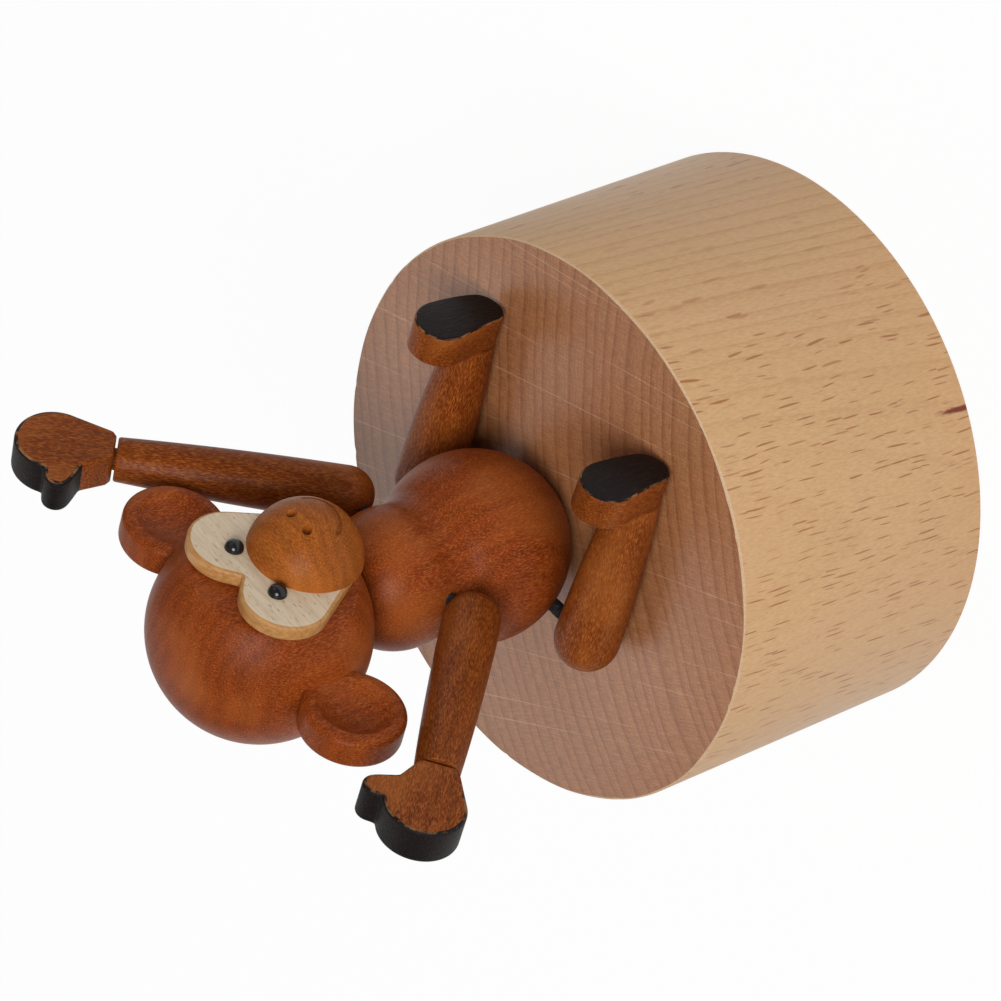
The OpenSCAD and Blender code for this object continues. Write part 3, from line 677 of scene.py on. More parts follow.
# %% [markdown]
# ## Stained wood
# The figure is turned from a brown, even wood and stained reddish. Stain collects in the soft early
# wood and leaves the rays bright, so close up the surface is a fine salt and pepper of short flecks
# along the grain. Three scales of noise do it: slow tone, faint rings and flecks. The limbs took less
# red, so the same function makes them with other colours.

# %% Stained wood
FULL_TURN = 6.283


def stained_wood(name, bright, middle, dark):
    """Flecks are noise stretched along the grain. The ramp's three colours are the bright rays, the
    wood, and the stain in the pores. Rings are a sine across the grain, bent by the slow tone. Where
    that tone is high the stain is thin, and the bright colour comes through."""
    new_material(name)
    blank = place_in_blank()
    slow = lumps(blank, 0.09, 0.05)
    fleck = lumps(blank, 6.8, 1.35, detail=2.5, roughness=0.6)
    wood = ramp(fleck, (0.34, dark), (0.5, middle), (0.69, bright))
    across = calc("MULTIPLY", add("SeparateXYZ", blank), 0.45)
    bent = calc("MULTIPLY_ADD", slow, 3.0, across)
    band = calc("SINE", calc("MULTIPLY", bent, FULL_TURN))
    shade = calc("MULTIPLY_ADD", band, 0.10, calc("MULTIPLY_ADD", slow, 0.8, 0.1))
    wood = overlay(wood, 0.5, shade, (0.25, 0.30), (0.75, 0.72))
    wood = mix(fit(slow, 0.46, 0.68, 0.0, 0.42, smooth=True), wood, bright)
    return dressed(wood, (fleck, -0.2, 0.50), (fleck, 0.03, 0.45), Specular_IOR_Level=0.10)


finish_body = stained_wood("stained_body", (0.385, 0.110, 0.0245), (0.252, 0.0440, 0.0060),
                           (0.160, 0.0215, 0.0026))
finish_limb = stained_wood("stained_limb", (0.375, 0.118, 0.0240), (0.218, 0.0460, 0.0057),
                           (0.120, 0.0205, 0.0023))
finish_muzzle = stained_wood("stained_muzzle", (0.445, 0.148, 0.0285), (0.33, 0.087, 0.0125),
                             (0.240, 0.053, 0.0070))
print("stained wood:", finish_body.name, finish_limb.name, finish_muzzle.name)

# %% [markdown]
# ## The torso
# A gourd shape: a belly ball and a chest ball joined by a hollow waist. The waist is an arc that
# touches both balls, and where it touches them follows from the triangle of the three centres. The
# foot is cut flat so the figure sits square on its spindle.

# %% Turn the torso
BELLY_FLAT, NECK_FLAT = 1.3, 1.2
CHEST_R, WAIST_R = 9.8, 6.0
SEAT_SOFT, SEAT_TRIM = 0.3, 1.2
NECK_SOFT, NECK_TRIM, NECK_RING = 0.4, 2, 1.5
seat_z, neck_z = node_box("torso")[0][2], node_box("torso")[1][2]
belly_r = span("torso")[0] / 2
belly_z = seat_z + belly_r - BELLY_FLAT
chest_z = neck_z + NECK_FLAT - CHEST_R


def torso_profile():
    """Flat foot, belly arc, waist arc, chest arc, flat neck. up and out place the waist's centre:
    its distances to the two balls' centres are their radii plus its own. Where a flat meets an arc a
    few tenths of a millimetre and a degree or two are left out, which softens the corner."""
    spine = chest_z - belly_z
    far, near = belly_r + WAIST_R, CHEST_R + WAIST_R
    up = (spine ** 2 + far ** 2 - near ** 2) / (2 * spine)
    out = math.sqrt(far ** 2 - up ** 2)
    low = math.degrees(math.asin(up / far))
    high = math.degrees(math.asin((up - spine) / near))
    foot = math.degrees(math.asin((seat_z - belly_z) / belly_r))
    neck = math.degrees(math.asin((neck_z - chest_z) / CHEST_R))
    foot_r = belly_r * math.cos(math.radians(foot))
    neck_r = CHEST_R * math.cos(math.radians(neck))
    return path([0, seat_z], [foot_r * 0.5, seat_z], [foot_r - SEAT_SOFT, seat_z],
                arc((0, belly_z), belly_r, foot + SEAT_TRIM, low, 70),
                arc((out, belly_z + up), WAIST_R, 180 + low, 180 + high, 24),
                arc((0, chest_z), CHEST_R, high, neck - NECK_TRIM, 44),
                [neck_r - NECK_SOFT, neck_z], [NECK_RING, neck_z], [0, neck_z])


piece("torso_wood", turned(torso_profile(), columns=192), "figure", "torso", [finish_body])

# %% [markdown]
# ## The head
# The head is a ball with a flat sliced off the front for the face plate and a small flat under the
# chin. Turning it about the nose axis makes the front flat crisp. The chin flat is made by lifting
# every point below it to its level, which keeps the ball closed.

# %% Turn the head
FACE_SOFT, FACE_TRIM = 0.25, 1.0
head_low, head_high = node_box("head")
head_r = span("head")[0] / 2
head_z = head_high[2] - head_r


def facing_front(points, middle_z, y=0.0):
    """Lays a shape turned about +Z so that its axis points to -Y, its middle at height middle_z."""
    return np.stack([points[..., 0], y - points[..., 2], middle_z + points[..., 1]], -1)


def head_surface():
    """Back pole, ball arc, softened edge, face flat. Then z is held at or above the chin."""
    front = -head_low[1]
    edge = math.degrees(math.asin(front / head_r))
    rim = head_r * math.cos(math.radians(edge))
    profile = path(arc((0, 0), head_r, -90, edge - FACE_TRIM, 120),
                   [rim - FACE_SOFT, front], [rim * 0.6, front], [0, front])
    points, faces, _ = turned(profile, columns=224)
    points = facing_front(points, head_z)
    points[:, 2] = np.maximum(points[:, 2], head_low[2])
    return points, faces


piece("head_wood", head_surface(), "head_unit", "head", [finish_body])

# %% [markdown]
# ## Plates with soft edges
# The face plate, the hands and the feet are sawn from board and sanded. Their outlines are unions of
# discs, so the distance from the middle to the edge in any direction is the largest root of one
# quadratic for each disc. That gives a clean ring of points without tracing anything. The plate is
# then a stack of such rings: in over the lower face, round the edge, and over the upper face.

# %% Outlines from discs
NEARLY_LEVEL = 1e-3


def between(start, start_r, end, end_r, count=40):
    """Discs from one to another, as rows of x, y and radius. Together they fill the capsule."""
    share = np.linspace(0, 1, count)[:, None]
    return np.hstack([np.array(start) * (1 - share) + np.array(end) * share,
                      start_r * (1 - share) + end_r * share])


def outline(discs, middle, columns, soften, cut=None):
    """The edge of a union of discs seen from middle: along direction d the far root for a disc at c is
    d.c + sqrt(r^2 - c.c + (d.c)^2), and the largest root wins. cut is the height of a straight sawn end.
    soften is the width, in columns, of the bell curve that rounds the corners."""
    direction = circle(columns)[:, :2]
    centre = discs[:, :2] - np.array(middle)
    along = direction @ centre.T
    inside = discs[:, 2] ** 2 - (centre ** 2).sum(axis=1) + along ** 2
    root = np.where(inside > 0, along + np.sqrt(np.maximum(inside, 0)), 0).max(axis=1)
    if cut is not None:
        root = np.minimum(root, (middle[1] - cut) / np.maximum(-direction[:, 1], NEARLY_LEVEL))
    step = np.minimum(np.arange(columns), columns - np.arange(columns))
    bell = np.exp(-(step / soften) ** 2)
    smooth = np.fft.ifft(np.fft.fft(root) * np.fft.fft(bell / bell.sum())).real
    return np.array(middle) + direction * smooth[:, None]


test_line = outline(between((-1, 0), 1, (1, 0), 1), (0, 0), columns=180, soften=1.0)
print("a test capsule reaches", test_line.max(axis=0).round(2), "of 2 and 1")

# %% Plates from outlines
def plate(edge_line, middle, thickness, edge, face_rows=14, edge_rows=7):
    """Rings of a plate between heights 0 and thickness. Face rings shrink towards the middle, edge
    rings follow a quarter circle of radius edge, moved in along the outline's normals.
    Gives the rings, both middle points and a mask of the rings on the rim."""
    along = np.roll(edge_line, -1, axis=0) - np.roll(edge_line, 1, axis=0)
    normal = np.stack([along[:, 1], -along[:, 0]], -1)
    normal /= np.linalg.norm(normal, axis=1)[:, None]
    quarter = np.linspace(0, np.pi / 2, edge_rows)
    inset = np.concatenate([edge * (1 - np.sin(quarter)), edge * (1 - np.cos(quarter))])
    level = np.concatenate([edge * (1 - np.cos(quarter)), thickness - edge * (1 - np.sin(quarter))])
    rim = edge_line - inset[:, None, None] * normal
    share = np.linspace(0, 1, face_rows + 1)[1:-1, None, None]
    low = np.array(middle) + (rim[0] - middle) * share
    high = np.array(middle) + (rim[-1] - middle) * share[::-1]
    flat = np.concatenate([low, rim, high])
    height = np.concatenate([np.zeros(len(low)), level, np.full(len(high), thickness)])
    rings = np.concatenate([flat, np.broadcast_to(height[:, None, None], (*flat.shape[:2], 1))], -1)
    on_rim = np.zeros(len(rings), bool)
    on_rim[len(low):len(low) + len(rim) - 1] = True
    return rings, [*middle, 0], [*middle, thickness], on_rim


def pick(starts, on_rim, columns):
    """Finish index for each face: 1 on the rim, in the columns that are marked, and 0 elsewhere. Faces
    lie ring by ring, so the rest of a face's number divided by the columns is its column."""
    rim = np.where(starts < 0, False, on_rim[np.minimum(starts, len(on_rim) - 1)])
    return (rim & columns[np.arange(len(starts)) % len(columns)]).astype(int)


# %% [markdown]
# ## The face plate
# A pale board, cream with a faint straight grain, and honey coloured round its sawn edge where the
# oil went in. Its outline is two brow lobes that run into one round chin.

# %% Pale board and its honey edge
TICK_BROWN = (0.25, 0.13, 0.05)


def pale_board(name, light, dark, contrast):
    """Straight grain: noise stretched twelve to one along the board, and a few short brown ticks."""
    new_material(name)
    blank = place_in_blank()
    grain = lumps(blank, 1.9, 0.16, detail=3.0, roughness=0.6)
    wood = mix(ramp(grain, (0.35, 0.0), (0.7, contrast)), light, dark)
    fine = lumps(blank, 7.0, 1.2)
    wood = overlay(wood, 0.12, fine, (0.35, 0.2), (0.65, 0.8))
    tick = lumps(blank, 4.0, 0.9, detail=0.0)
    wood = mix(fit(tick, 0.70, 0.78, 0.0, 0.55), wood, TICK_BROWN)
    return dressed(wood, (fine, 0.2, 0.40), (grain, 0.02, 0.4), Specular_IOR_Level=0.35)


finish_pale = pale_board("pale_face", (0.75, 0.615, 0.450), (0.62, 0.465, 0.295), 0.8)
finish_honey = pale_board("honey_edge", (0.58, 0.30, 0.105), (0.42, 0.18, 0.048), 1.0)
print("board:", finish_pale.name, finish_honey.name)

# %% Saw the face plate
LOBE_OUT, LOBE_UP, LOBE_R = 0.38, 0.2, 0.4
CHIN_DOWN, CHIN_R = 0.3, 0.48
MASK_EDGE = 0.45
mask_low, mask_high = node_box("face_plate")


def mask_surface():
    """Two capsules from the brow lobes to the chin, as shares of the head's radius."""
    chin = (0.0, -CHIN_DOWN * head_r)
    discs = np.vstack([between((side * LOBE_OUT * head_r, LOBE_UP * head_r), LOBE_R * head_r,
                               chin, CHIN_R * head_r) for side in (-1, 1)])
    line = outline(discs, (0, 0), columns=288, soften=1.6)
    rings, low, high, on_rim = plate(line, (0, 0), mask_high[1] - mask_low[1], MASK_EDGE)
    points, faces, rows = skin(rings, low, high)
    finish = pick(rows, on_rim, np.ones(len(line), bool))
    return facing_front(points, head_z, mask_high[1]), faces, finish, points


*mask_skin, mask_finish, mask_board = mask_surface()
piece("face_board", mask_skin, "head_unit", "face_plate", [finish_pale, finish_honey],
      mask_board[:, [2, 1, 0]], mask_finish)

# %% [markdown]
# ## Eyes
# Two round-headed black pins. A dome with a short skirt that goes into the board is enough, but the
# gloss matters: the small bright dot of the lamp is what makes an eye look alive. The lacquer is a
# touch uneven, so that the dot isn't perfectly round.

# %% Black pins
EYE_SINK, EYE_SKIRT = 0.4, 0.1
EYE_TAPER = (0.96, 0.98)
finish_black = two_tone("black_lacquer", place_on_object, (900, 900, 900), 2.0, (0.004, 0.004, 0.005),
                        (0.016, 0.014, 0.014), rough=(0.14, 0.08), Specular_IOR_Level=0.42)
eye_low, eye_high = node_box("eyes")
eye_r = (eye_high[2] - eye_low[2]) / 2


def pin_head(side):
    """A half ball on a short skirt, set on the face plate at one side."""
    profile = path([0, -EYE_SINK], [eye_r * EYE_TAPER[0], -EYE_SINK], [eye_r * EYE_TAPER[1], -EYE_SKIRT],
                   arc((0, 0), eye_r, 0, 90, 18))
    points, faces, _ = turned(profile, columns=48)
    points = facing_front(points, (eye_low[2] + eye_high[2]) / 2, mask_low[1])
    return points + [side * (eye_high[0] - eye_r), 0, 0], faces


left_pin, right_pin = pin_head(1), pin_head(-1)
shifted = [[i + len(left_pin[0]) for i in face] for face in right_pin[1]]
piece("eye_pins", (np.vstack([left_pin[0], right_pin[0]]), left_pin[1] + shifted), "head_unit",
      "eyes", [finish_black])

# %% [markdown]
# ## The muzzle
# A domed block with a carved smile and two drilled nostrils. The dome is a polar grid over the front
# of a ball, and the carving pushes its points in along the radius: a groove is one smooth bell across
# the distance from a circle, cut off above a line, and a nostril is a bell round a point. Carving in
# the mesh, not in a bump map, gives the groove real shadow and keeps it in the exported shape.

# %% The carving as a depth
SMILE_R, SMILE_UP, SMILE_WIDTH, SMILE_DEPTH = 4.0, 0.6, 0.30, 0.5
SMILE_EDGE, SMILE_ENDS = (1.25, 0.35), (0.5, 1.5)
NOSTRIL_X, NOSTRIL_Z, NOSTRIL_R, NOSTRIL_DEPTH = 1.7, 2.6, 0.6, 1.1
NOSTRIL_EDGE = (1.15, 0.6)


def smooth_step(value, low, high):
    """0 below low, 1 above high, and 3s^2 - 2s^3 between."""
    share = np.clip((value - low) / (high - low), 0, 1)
    return share * share * (3 - 2 * share)


def hollow(distance, radius, edge):
    """1 in the middle of a cut and 0 outside. edge gives, as shares of the radius, where it starts
    and where it is fully deep."""
    return smooth_step(-distance, -radius * edge[0], -radius * edge[1])


def muzzle_carving(x, z):
    """Depth of the carving at a point of the front: the smile plus the nostrils."""
    from_circle = np.abs(np.hypot(x, z - SMILE_UP) - SMILE_R)
    smile = SMILE_DEPTH * hollow(from_circle, SMILE_WIDTH, SMILE_EDGE) * smooth_step(-z, *SMILE_ENDS)
    from_hole = np.hypot(np.abs(x) - NOSTRIL_X, z - NOSTRIL_Z)
    return smile + NOSTRIL_DEPTH * hollow(from_hole, NOSTRIL_R, NOSTRIL_EDGE)


print("smile", SMILE_DEPTH, "mm deep, nostrils", NOSTRIL_DEPTH, "mm")

# %% Carve the muzzle
MUZZLE_RINGS, MUZZLE_COLUMNS = 150, 320
BACK_RINGS = [0.25, 0.6, 0.97]
muzzle_low, muzzle_high = node_box("muzzle")
muzzle_r = (muzzle_high[0] - muzzle_low[0]) / 2
muzzle_len = muzzle_high[1] - muzzle_low[1]
muzzle_z = (muzzle_low[2] + muzzle_high[2]) / 2


def muzzle_surface():
    """Rings from the middle of the back, out to the foot and over the dome. The dome's rings are
    angles of a ball of radius R = (r^2 + l^2) / 2l, and carving shortens the radius."""
    big = (muzzle_r ** 2 + muzzle_len ** 2) / (2 * muzzle_len)
    foot = math.asin((big - muzzle_len) / big)
    angle = np.linspace(foot, np.pi / 2, MUZZLE_RINGS)[:-1, None, None]
    ring = circle(MUZZLE_COLUMNS)
    plain = big * np.cos(angle) * ring
    reach = big - muzzle_carving(plain[..., 0], plain[..., 1])[..., None]
    dome = reach * np.cos(angle) * ring + (reach * np.sin(angle) - big + muzzle_len) * [0, 0, 1]
    back = np.array(BACK_RINGS)[:, None, None] * muzzle_r * ring
    tip = [0, 0, muzzle_len - float(muzzle_carving(0.0, 0.0))]
    points, faces, _ = skin(np.concatenate([back, dome]), [0, 0, 0], tip)
    return facing_front(points, muzzle_z, muzzle_high[1]), faces, points


*muzzle_skin, muzzle_block = muzzle_surface()
piece("muzzle_wood", muzzle_skin, "head_unit", "muzzle", [finish_muzzle],
      muzzle_block[:, [1, 2, 0]])

# %% [markdown]
# ## Ears
# Thick discs with a rounded rim and a shallow dish, seated against the ball of the head. Again a
# profile: flat back, round rim, front rim, dish. The dish is an arc of a larger ball.

# %% Turn the ears
EAR_SOFT = 1.0
EAR_DISH_R, EAR_DISH_OUT = 1.36, 1.15
EAR_LIP_TRIM = 1.0


def ear_surface(name, side):
    """Turned about the axis that points to the front, at the side of the head."""
    low, high = node_box(name)
    ear_r, ear_t = (high[2] - low[2]) / 2, high[1] - low[1]
    ear_x = (high[0] if side > 0 else -low[0]) - ear_r
    dish_r, dish_out = EAR_DISH_R * ear_r, EAR_DISH_OUT * ear_r
    lip = math.degrees(math.asin(dish_out / dish_r))
    soft = ear_r - EAR_SOFT
    profile = path([0, 0], [soft * 0.5, 0], arc((soft, EAR_SOFT), EAR_SOFT, -90, 0, 12),
                   arc((soft, ear_t - EAR_SOFT), EAR_SOFT, 0, 90, 12),
                   arc((0, ear_t + dish_out), dish_r, -lip + EAR_LIP_TRIM, -90, 36))
    points, faces, _ = turned(profile, columns=128)
    place = facing_front(points, (low[2] + high[2]) / 2, high[1]) + [side * ear_x, 0, 0]
    return place, faces, points[:, [0, 2, 1]]


for name, side in (("right_ear", -1), ("left_ear", 1)):
    *ear_skin, ear_blank = ear_surface(name, side)
    piece(name + "_wood", ear_skin, "head_unit", name, [finish_body], ear_blank)

# %% [markdown]
# ## Limbs
# Arms and legs are turned rods with a ball end that thin towards the hand or foot in a slow curve,
# r = root - (root - tip) (z / length)^2, and end in a peg. They are turned upright and then stood
# along the joint's axis. The frame gives the shoulder or hip, the wrist or ankle, and that axis.

# %% Turn a limb
PEG_R, PEG_LEN = 1.5, 3.9
LIMB_EDGE = 0.3
LIMB_RINGS = 40
LIMB_SIZES = {"arm": (3.9, 3.0), "leg": (4.5, 3.1)}
LIMB_JOINTS = {"arm": ("shoulder", "wrist"), "leg": ("hip", "ankle")}
SIDES = ("right", "left")


def limb_profile(root, tip, length):
    """Ball end, parabola, softened shoulder, peg."""
    height = np.linspace(0, length - LIMB_EDGE, LIMB_RINGS)
    side = np.stack([root - (root - tip) * (height / length) ** 2, height], -1)
    return path(arc((0, 0), root, -90, 0, 28), side,
                arc((tip - LIMB_EDGE, length - LIMB_EDGE), LIMB_EDGE, 10, 90, 6),
                [PEG_R, length], [PEG_R, length + PEG_LEN], [0, length + PEG_LEN])


def stand(points, foot, up, across):
    """Moves points so that +Z lies along up and +X as near as can be to across, from foot."""
    z = up / np.linalg.norm(up)
    x = across - z * (across @ z)
    x /= np.linalg.norm(x)
    return foot + points @ np.stack([x, np.cross(z, x), z])


def limb_axes(side, kind):
    """Root point, end point, direction and the board's X direction of one limb."""
    root_joint, end_joint = LIMB_JOINTS[kind]
    root = joint_place(f"{side}_{root_joint}")[0]
    end, up = joint_place(f"{side}_{end_joint}")
    if kind == "leg":
        return root, end, up, np.array([1.0, 0, 0])
    flat = np.array([0, up[2], -up[1]])
    return root, end, up, np.cross(flat, up)


print("radii at root and tip in mm:", LIMB_SIZES)

# %% Arms and legs
for side in SIDES:
    for kind, radii in LIMB_SIZES.items():
        root, end, up, across = limb_axes(side, kind)
        rod = turned(limb_profile(*radii, np.linalg.norm(end - root)), columns=96)
        name = f"{side}_{kind}"
        piece(name + "_wood", (stand(rod[0], root, up, across), rod[1]), name + "_unit", name,
              [finish_limb], rod[0])

# %% [markdown]
# ## Dark stain
# The edges of the hands and the soles of the feet are stained nearly black. The black is thin, so the
# saw marks and the open grain still show as fine ridges, and the ridges catch the light. Handling has
# rubbed it through here and there along the corners. A corner is a few rows of faces on a rounded
# edge, so those rows get a second version of the stain that lets the wood through in places.

# %% Nearly black stain
BARE_WOOD = (0.36, 0.155, 0.052)


def dark_stain(name, rubbed):
    """Ridges are noise stretched seven to one, in the colour a little and in the bump a lot. rubbed is
    how much wood shows where a slower noise is high."""
    new_material(name)
    blank = place_in_blank()
    ridge = lumps(blank, 3.6, 0.5, detail=3.0, roughness=0.6)
    fine = lumps(blank, 9.0, 2.0)
    wood = ramp(ridge, (0.30, (0.003, 0.0018, 0.0016)), (0.60, (0.010, 0.0050, 0.0040)),
                (0.80, (0.036, 0.0165, 0.0110)))
    wood = overlay(wood, 0.25, fine, (0.3, 0.1), (0.7, 0.9))
    patch = lumps(blank, 0.6, 0.45, detail=3.0, roughness=0.6)
    wood = mix(fit(patch, 0.45, 0.62, 0.0, rubbed), wood, BARE_WOOD)
    return dressed(wood, (fine, 0.2, 0.44), (ridge, 0.16, 0.8), Specular_IOR_Level=0.2)


sawn_finishes = [finish_limb, dark_stain("dark_stain", 0.0), dark_stain("rubbed_stain", 0.8)]
print("sawn pieces:", [finish.name for finish in sawn_finishes])

# %% Rubbed corners, and a sawn piece on each limb
HAND_CORNER = [0, 1, 2, 10, 11, 12]
SOLE_CORNER = [9, 10]


def rub_corners(finish, starts, on_rim, corner):
    """Turns finish 1 into 2 in the rows of the rim that corner lists."""
    row = starts - np.flatnonzero(on_rim)[0]
    return np.where((finish == 1) & np.isin(row, corner), 2, finish)


def sawn_pieces(limb, kind, word, surfaces, grain):
    """Stands a sawn piece on the end of each limb. surfaces holds one for each side, and grain is the
    order of its axes in the blank."""
    for side in SIDES:
        _, end, up, across = limb_axes(side, limb)
        points, faces, finish = surfaces[side]
        name = f"{side}_{kind}"
        piece(f"{name}_{word}", (stand(points, end, up, across), faces), name + "_unit", name,
              sawn_finishes, points[:, grain], finish)


# %% [markdown]
# ## Hands
# A flat mitten with a thumb, sawn from board, with a dark rim. Near the wrist it is pared to a cone,
# so that it runs into the arm. Paring is a limit on the distance from the wrist's axis: where a point
# lies outside the cone, it is moved straight in to the cone's surface.

# %% Saw and pare the hands
HAND_T, HAND_EDGE, HAND_MIDDLE = 5.2, 0.5, (1.0, 1.1)
PALM_R, PALM_FOOT, PALM_LEAN, PALM_UP = 5.5, 2, 0.6, 1.5
THUMB_R, THUMB_ROOT, THUMB_OUT, THUMB_UP, THUMB_TAPER = 2.1, 2, 1.6, 1.3, 0.2
CONE_WIDER, CONE_HIGHER = 4, 1
WRIST_GAP = 0.3
DARK_FROM = 4.2
ON_AXIS = 1e-6


def hand_surface(side):
    """Palm and thumb as capsules in the board's plane, y across the board's thickness."""
    turn = 1 if side == "left" else -1
    wrist_r = LIMB_SIZES["arm"][1]
    palm = between((0, PALM_FOOT), wrist_r, (-turn * PALM_LEAN, PALM_UP * PALM_R), PALM_R)
    thumb = between((-turn * THUMB_ROOT, PALM_R), THUMB_R,
                    (-turn * (PALM_R + THUMB_OUT), THUMB_UP * PALM_R), THUMB_R - THUMB_TAPER)
    middle = (-turn * HAND_MIDDLE[0], HAND_MIDDLE[1] * PALM_R)
    line = outline(np.vstack([palm, thumb]), middle, columns=360, soften=4.0, cut=WRIST_GAP)
    line[:, 1] = np.maximum(line[:, 1], WRIST_GAP)
    rings, low, high, on_rim = plate(line, middle, HAND_T, HAND_EDGE)
    points, faces, rows = skin(rings, low, high)
    points = np.stack([points[:, 0], HAND_T / 2 - points[:, 2], points[:, 1]], -1)
    slope = (PALM_R + CONE_WIDER - wrist_r) / (PALM_R + CONE_HIGHER - WRIST_GAP)
    cone = wrist_r + (points[:, 2] - WRIST_GAP) * slope
    reach = np.hypot(points[:, 0], points[:, 1])
    points[:, :2] *= np.minimum(1, cone / np.maximum(reach, ON_AXIS))[:, None]
    dark = pick(rows, on_rim, line[:, 1] > DARK_FROM)
    return points, faces, rub_corners(dark, rows, on_rim, HAND_CORNER)


sawn_pieces("arm", "hand", "board", {side: hand_surface(side) for side in SIDES}, [0, 1, 2])

# %% [markdown]
# ## Feet
# Egg-shaped blocks on the ends of the legs, toes up, with a domed dark sole. The dome is part of a
# ball, so the height of the sole above each point is sqrt(R^2 - d^2) from the ball's middle.

# %% Saw and dome the feet
FOOT_T, FOOT_RISE, FOOT_EDGE = 5.6, 7.0, 0.45
HEEL_INSET, TOE_WIDER = 0.1, 0.9
SOLE_R, SOLE_ROWS = 30.0, 3


def foot_surface():
    """An egg between a heel disc and a toe disc, in the plane across the leg, x and y, z along it."""
    heel_r = LIMB_SIZES["leg"][1] - HEEL_INSET
    egg = between((0, 0), heel_r, (0, FOOT_RISE), heel_r + TOE_WIDER)
    middle = (0, FOOT_RISE / 2)
    line = outline(egg, middle, columns=224, soften=0.8)
    rings, low, high, on_rim = plate(line, middle, FOOT_T, FOOT_EDGE, face_rows=20)
    points, faces, rows = skin(rings, low, high)
    away = points[:, 0] ** 2 + (points[:, 1] - middle[1]) ** 2
    drop = SOLE_R - np.sqrt(SOLE_R ** 2 - away)
    points[:, 2] += WRIST_GAP - drop * points[:, 2] / FOOT_T
    sole = np.where(rows >= np.flatnonzero(on_rim)[-1] - SOLE_ROWS, 1, 0)
    return points, faces, rub_corners(sole, rows, on_rim, SOLE_CORNER)


sawn_pieces("leg", "foot", "block", dict.fromkeys(SIDES, foot_surface()), [0, 2, 1])

# %% [markdown]
# ## Elastic cords
# The limbs are drawn to the body by two elastic cords that show only in the narrow gaps: dull rubber
# thread in a dark cotton braid. A braid is two sets of strands that cross over and under, so the radius
# is a base plus the larger of two waves that wind opposite ways. Round the cord and along it that is
# one formula on a grid.

# %% Braid the cords
CORD_R, BRAID_RISE = 0.9, 0.09
BRAID_STRANDS, BRAID_PITCH = 5, 3.0
BRAID_COLUMNS, RINGS_PER_MM = 40, 9
finish_elastic = two_tone("elastic_braid", place_in_blank, (9, 9, 3), 3.0, (0.008, 0.007, 0.008),
                          (0.036, 0.030, 0.033), rough=(0.2, 0.65), relief=(0.05, 0.6),
                          Specular_IOR_Level=0.25)


def braid(length):
    """A rod along X whose radius is the cord's plus a rise times the larger of a wave that winds left
    and one that winds right, closed at both ends."""
    along = np.linspace(0, length, int(length * RINGS_PER_MM))[:, None]
    angle = angles(BRAID_COLUMNS)[None, :]
    turn = 2 * np.pi * along / BRAID_PITCH
    left = np.cos(BRAID_STRANDS * angle + turn * 2)
    right = np.cos(BRAID_STRANDS * angle - turn * 2)
    radius = CORD_R + BRAID_RISE * np.maximum(left, right)
    rings = np.stack([along + 0 * angle, radius * np.cos(angle), radius * np.sin(angle)], -1)
    return skin(rings, [0, 0, 0], [length, 0, 0])


for name in ("shoulder_cord", "hip_cord"):
    low, high = node_box(name)
    cord_points, cord_faces, _ = braid(high[0] - low[0])
    middle = (low + high) / 2
    piece(name + "_braid", (cord_points + [low[0], middle[1], middle[2]], cord_faces), "figure",
          name, [finish_elastic], cord_points[:, [1, 2, 0]])

# %% [markdown]
# ## The movement and the cover
# What is left is metal and board inside the drum, seen only when the cover is off, and the cover
# itself. Their solids have the right shape, so they stay, and get finishes that read Object
# coordinates, because a solid has no blank. Metal is never one flat tone: the finish varies in
# roughness more than in colour.

# %% Metals and board
SCRATCHES = 2600


def metal(name, light, dark, rough, stretch=(1, 1, 1)):
    """Metal with a slow stain, and scratches as noise that is long one way."""
    new_material(name)
    spot = place_on_object()
    stain = lumps(spot, 180, 180, detail=3.0)
    scratch = noise(scaled(spot, *(SCRATCHES * part for part in stretch)))
    return dressed(mix(stain, dark, light), (scratch, 0.25, rough), (scratch, 0.01, 0.3), Metallic=1.0)


def pressed_board():
    """Brown fibreboard: two sizes of fibre, no gloss."""
    new_material("pressed_board")
    spot = place_on_object()
    fibre = noise(scaled(spot, 1500, 600, 1500), detail=4.0, roughness=0.7)
    board = ramp(fibre, (0.3, (0.085, 0.050, 0.026)), (0.7, (0.185, 0.115, 0.062)))
    board = overlay(board, 0.3, lumps(spot, 90, 90), (0.3, 0.3), (0.7, 0.7))
    return dressed(board, (fibre, 0.15, 0.72), (fibre, 0.05, 0.6), IOR=1.4)


finish_dowel = two_tone("pale_dowel", place_on_object, (2500, 2500, 250), 3.0, (0.45, 0.31, 0.18),
                        (0.60, 0.46, 0.30), rough=(0.2, 0.45), relief=(0.03, 0.5), IOR=1.45)
print("dowel:", finish_dowel.name)

# %% Give the solids their finishes
solid_finishes = [
    (metal("brass", (0.80, 0.56, 0.22), (0.62, 0.40, 0.13), 0.18, (1, 1, 0.1)),
     ["spindle_bush", "spring_case", "cylinder", "cylinder_pinion", "cylinder_gear", "governor_wheel",
      "great_wheel"]),
    (metal("steel", (0.58, 0.58, 0.60), (0.42, 0.42, 0.44), 0.20, (0.1, 1, 1)),
     ["cover_screws", "bedplate_screws", "case_screws", "mainspring", "comb", "comb_screws",
      "cylinder_shaft", "governor_arbor", "fan_arbor", "spindle"]),
    (metal("zinc_casting", (0.50, 0.50, 0.49), (0.36, 0.36, 0.36), 0.42), ["bedplate"]),
    (metal("light_alloy", (0.75, 0.76, 0.77), (0.62, 0.63, 0.64), 0.25), ["fan"]),
    (pressed_board(), ["bottom_cover"]),
    (finish_dowel, ["neck_peg"])]

for finish, names in solid_finishes:
    for name in names:
        for place in frame["nodes"][name].material_slots:
            place.material = finish
    print(finish.name, "on", len(names), "solids that keep their shape")

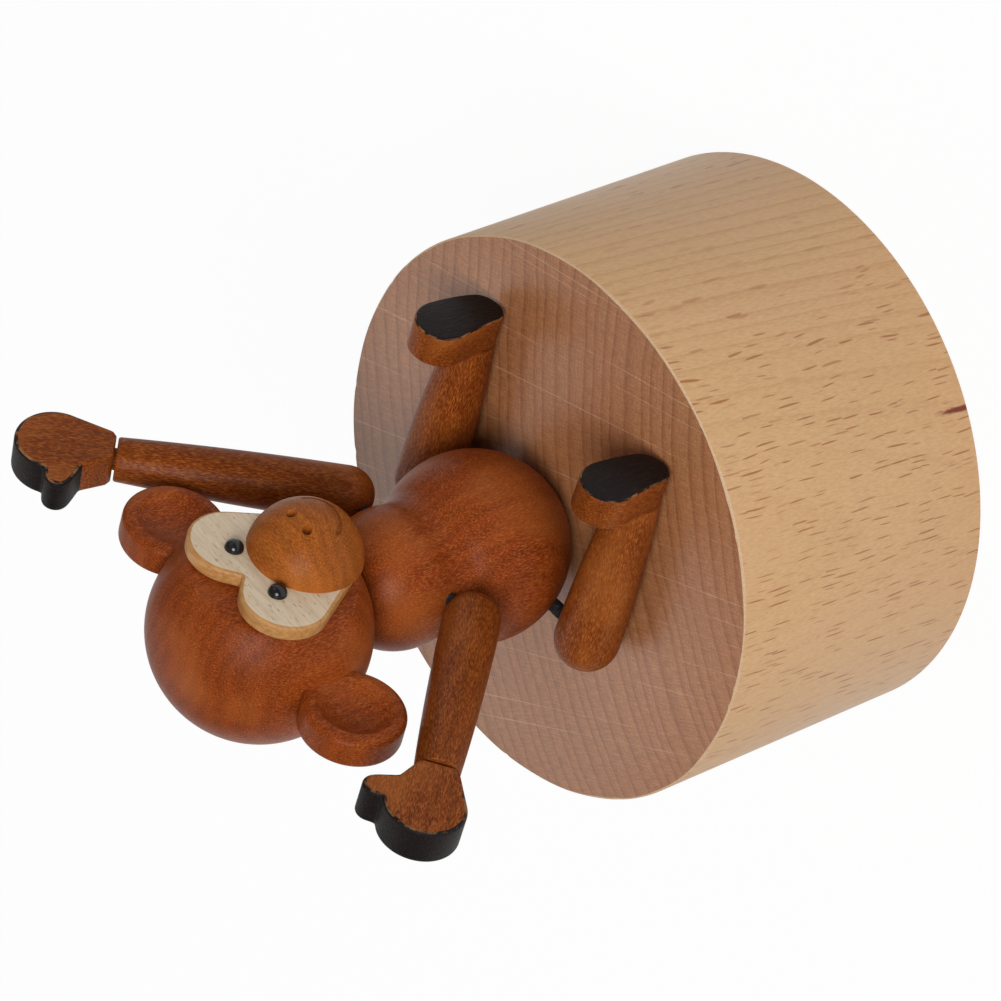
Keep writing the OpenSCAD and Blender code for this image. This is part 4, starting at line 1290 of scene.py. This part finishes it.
# %% [markdown]
# ## Light and floor
# The photograph is a catalogue picture: soft light from the upper left, a little from the right and
# from behind, and a white ground. One strong, broad lamp gives the soft modelling, two weaker ones reach
# the far sides, and a plain white world fills the shadows. The floor is white paint that glows to the
# camera, so it reads as white without any more light on the wood, and a trace of the shadow still shows.

# %% Lamps and world
WORLD_STRENGTH = 0.17


def lamp(name, place, power, size):
    """A square area lamp at place, in metres, that faces the figure."""
    light = bpy.data.objects.new(name, bpy.data.lights.new(name, "AREA"))
    light.data.energy = power
    light.data.size = size
    light.location = place
    away = light.location - Vector(CAMERA_AIM * MM)
    light.rotation_euler = away.to_track_quat("Z", "Y").to_euler()
    bpy.context.scene.collection.objects.link(light)
    print(name, power, "W,", round(away.length, 2), "m away")


lamp("key_lamp", place=(-0.76, -0.48, 1.00), power=12.1, size=0.6)
lamp("fill_lamp", place=(0.70, -0.95, 0.60), power=1.0, size=0.8)
lamp("back_lamp", place=(0.66, 0.86, 0.80), power=4.5, size=1.2)

world = bpy.data.worlds.new("studio")
world.use_nodes = True
world.node_tree.nodes["Background"].inputs["Color"].default_value = (1, 1, 1, 1)
world.node_tree.nodes["Background"].inputs["Strength"].default_value = WORLD_STRENGTH
bpy.context.scene.world = world

# %% White floor
FLOOR_HALF = 6.0
FLOOR_DROP = 0.02
FLOOR_GLOW = 0.95
FLOOR_PAINT = (0.93, 0.93, 0.93, 1)


def white_floor():
    """Diffuse paint mixed with a glow of strength 1 that only the camera, reflections and glass see."""
    new_material("white_floor")
    light_path = add("LightPath").node.outputs
    seen = calc("MAXIMUM", light_path["Is Camera Ray"], light_path["Is Glossy Ray"])
    seen = calc("MAXIMUM", seen, light_path["Is Transmission Ray"])
    paint = add("BsdfDiffuse", FLOOR_PAINT)
    glow = add("Emission", (1, 1, 1, 1), 1.0)
    return shown(add("MixShader", calc("MULTIPLY", seen, FLOOR_GLOW), paint, glow))


floor_mesh = bpy.data.meshes.new("floor")
corners = np.array([[-1, -1, 0], [1, -1, 0], [1, 1, 0], [-1, 1, 0]]) * FLOOR_HALF
corners[:, 2] -= FLOOR_DROP * MM
floor_mesh.from_pydata(corners.tolist(), [], [[0, 1, 2, 3]])
floor_mesh.materials.append(white_floor())
floor = bpy.data.objects.new("floor", floor_mesh)
bpy.context.scene.collection.objects.link(floor)
bpy.context.scene.view_settings.view_transform = "Standard"
print("floor", 2 * FLOOR_HALF, "m wide")
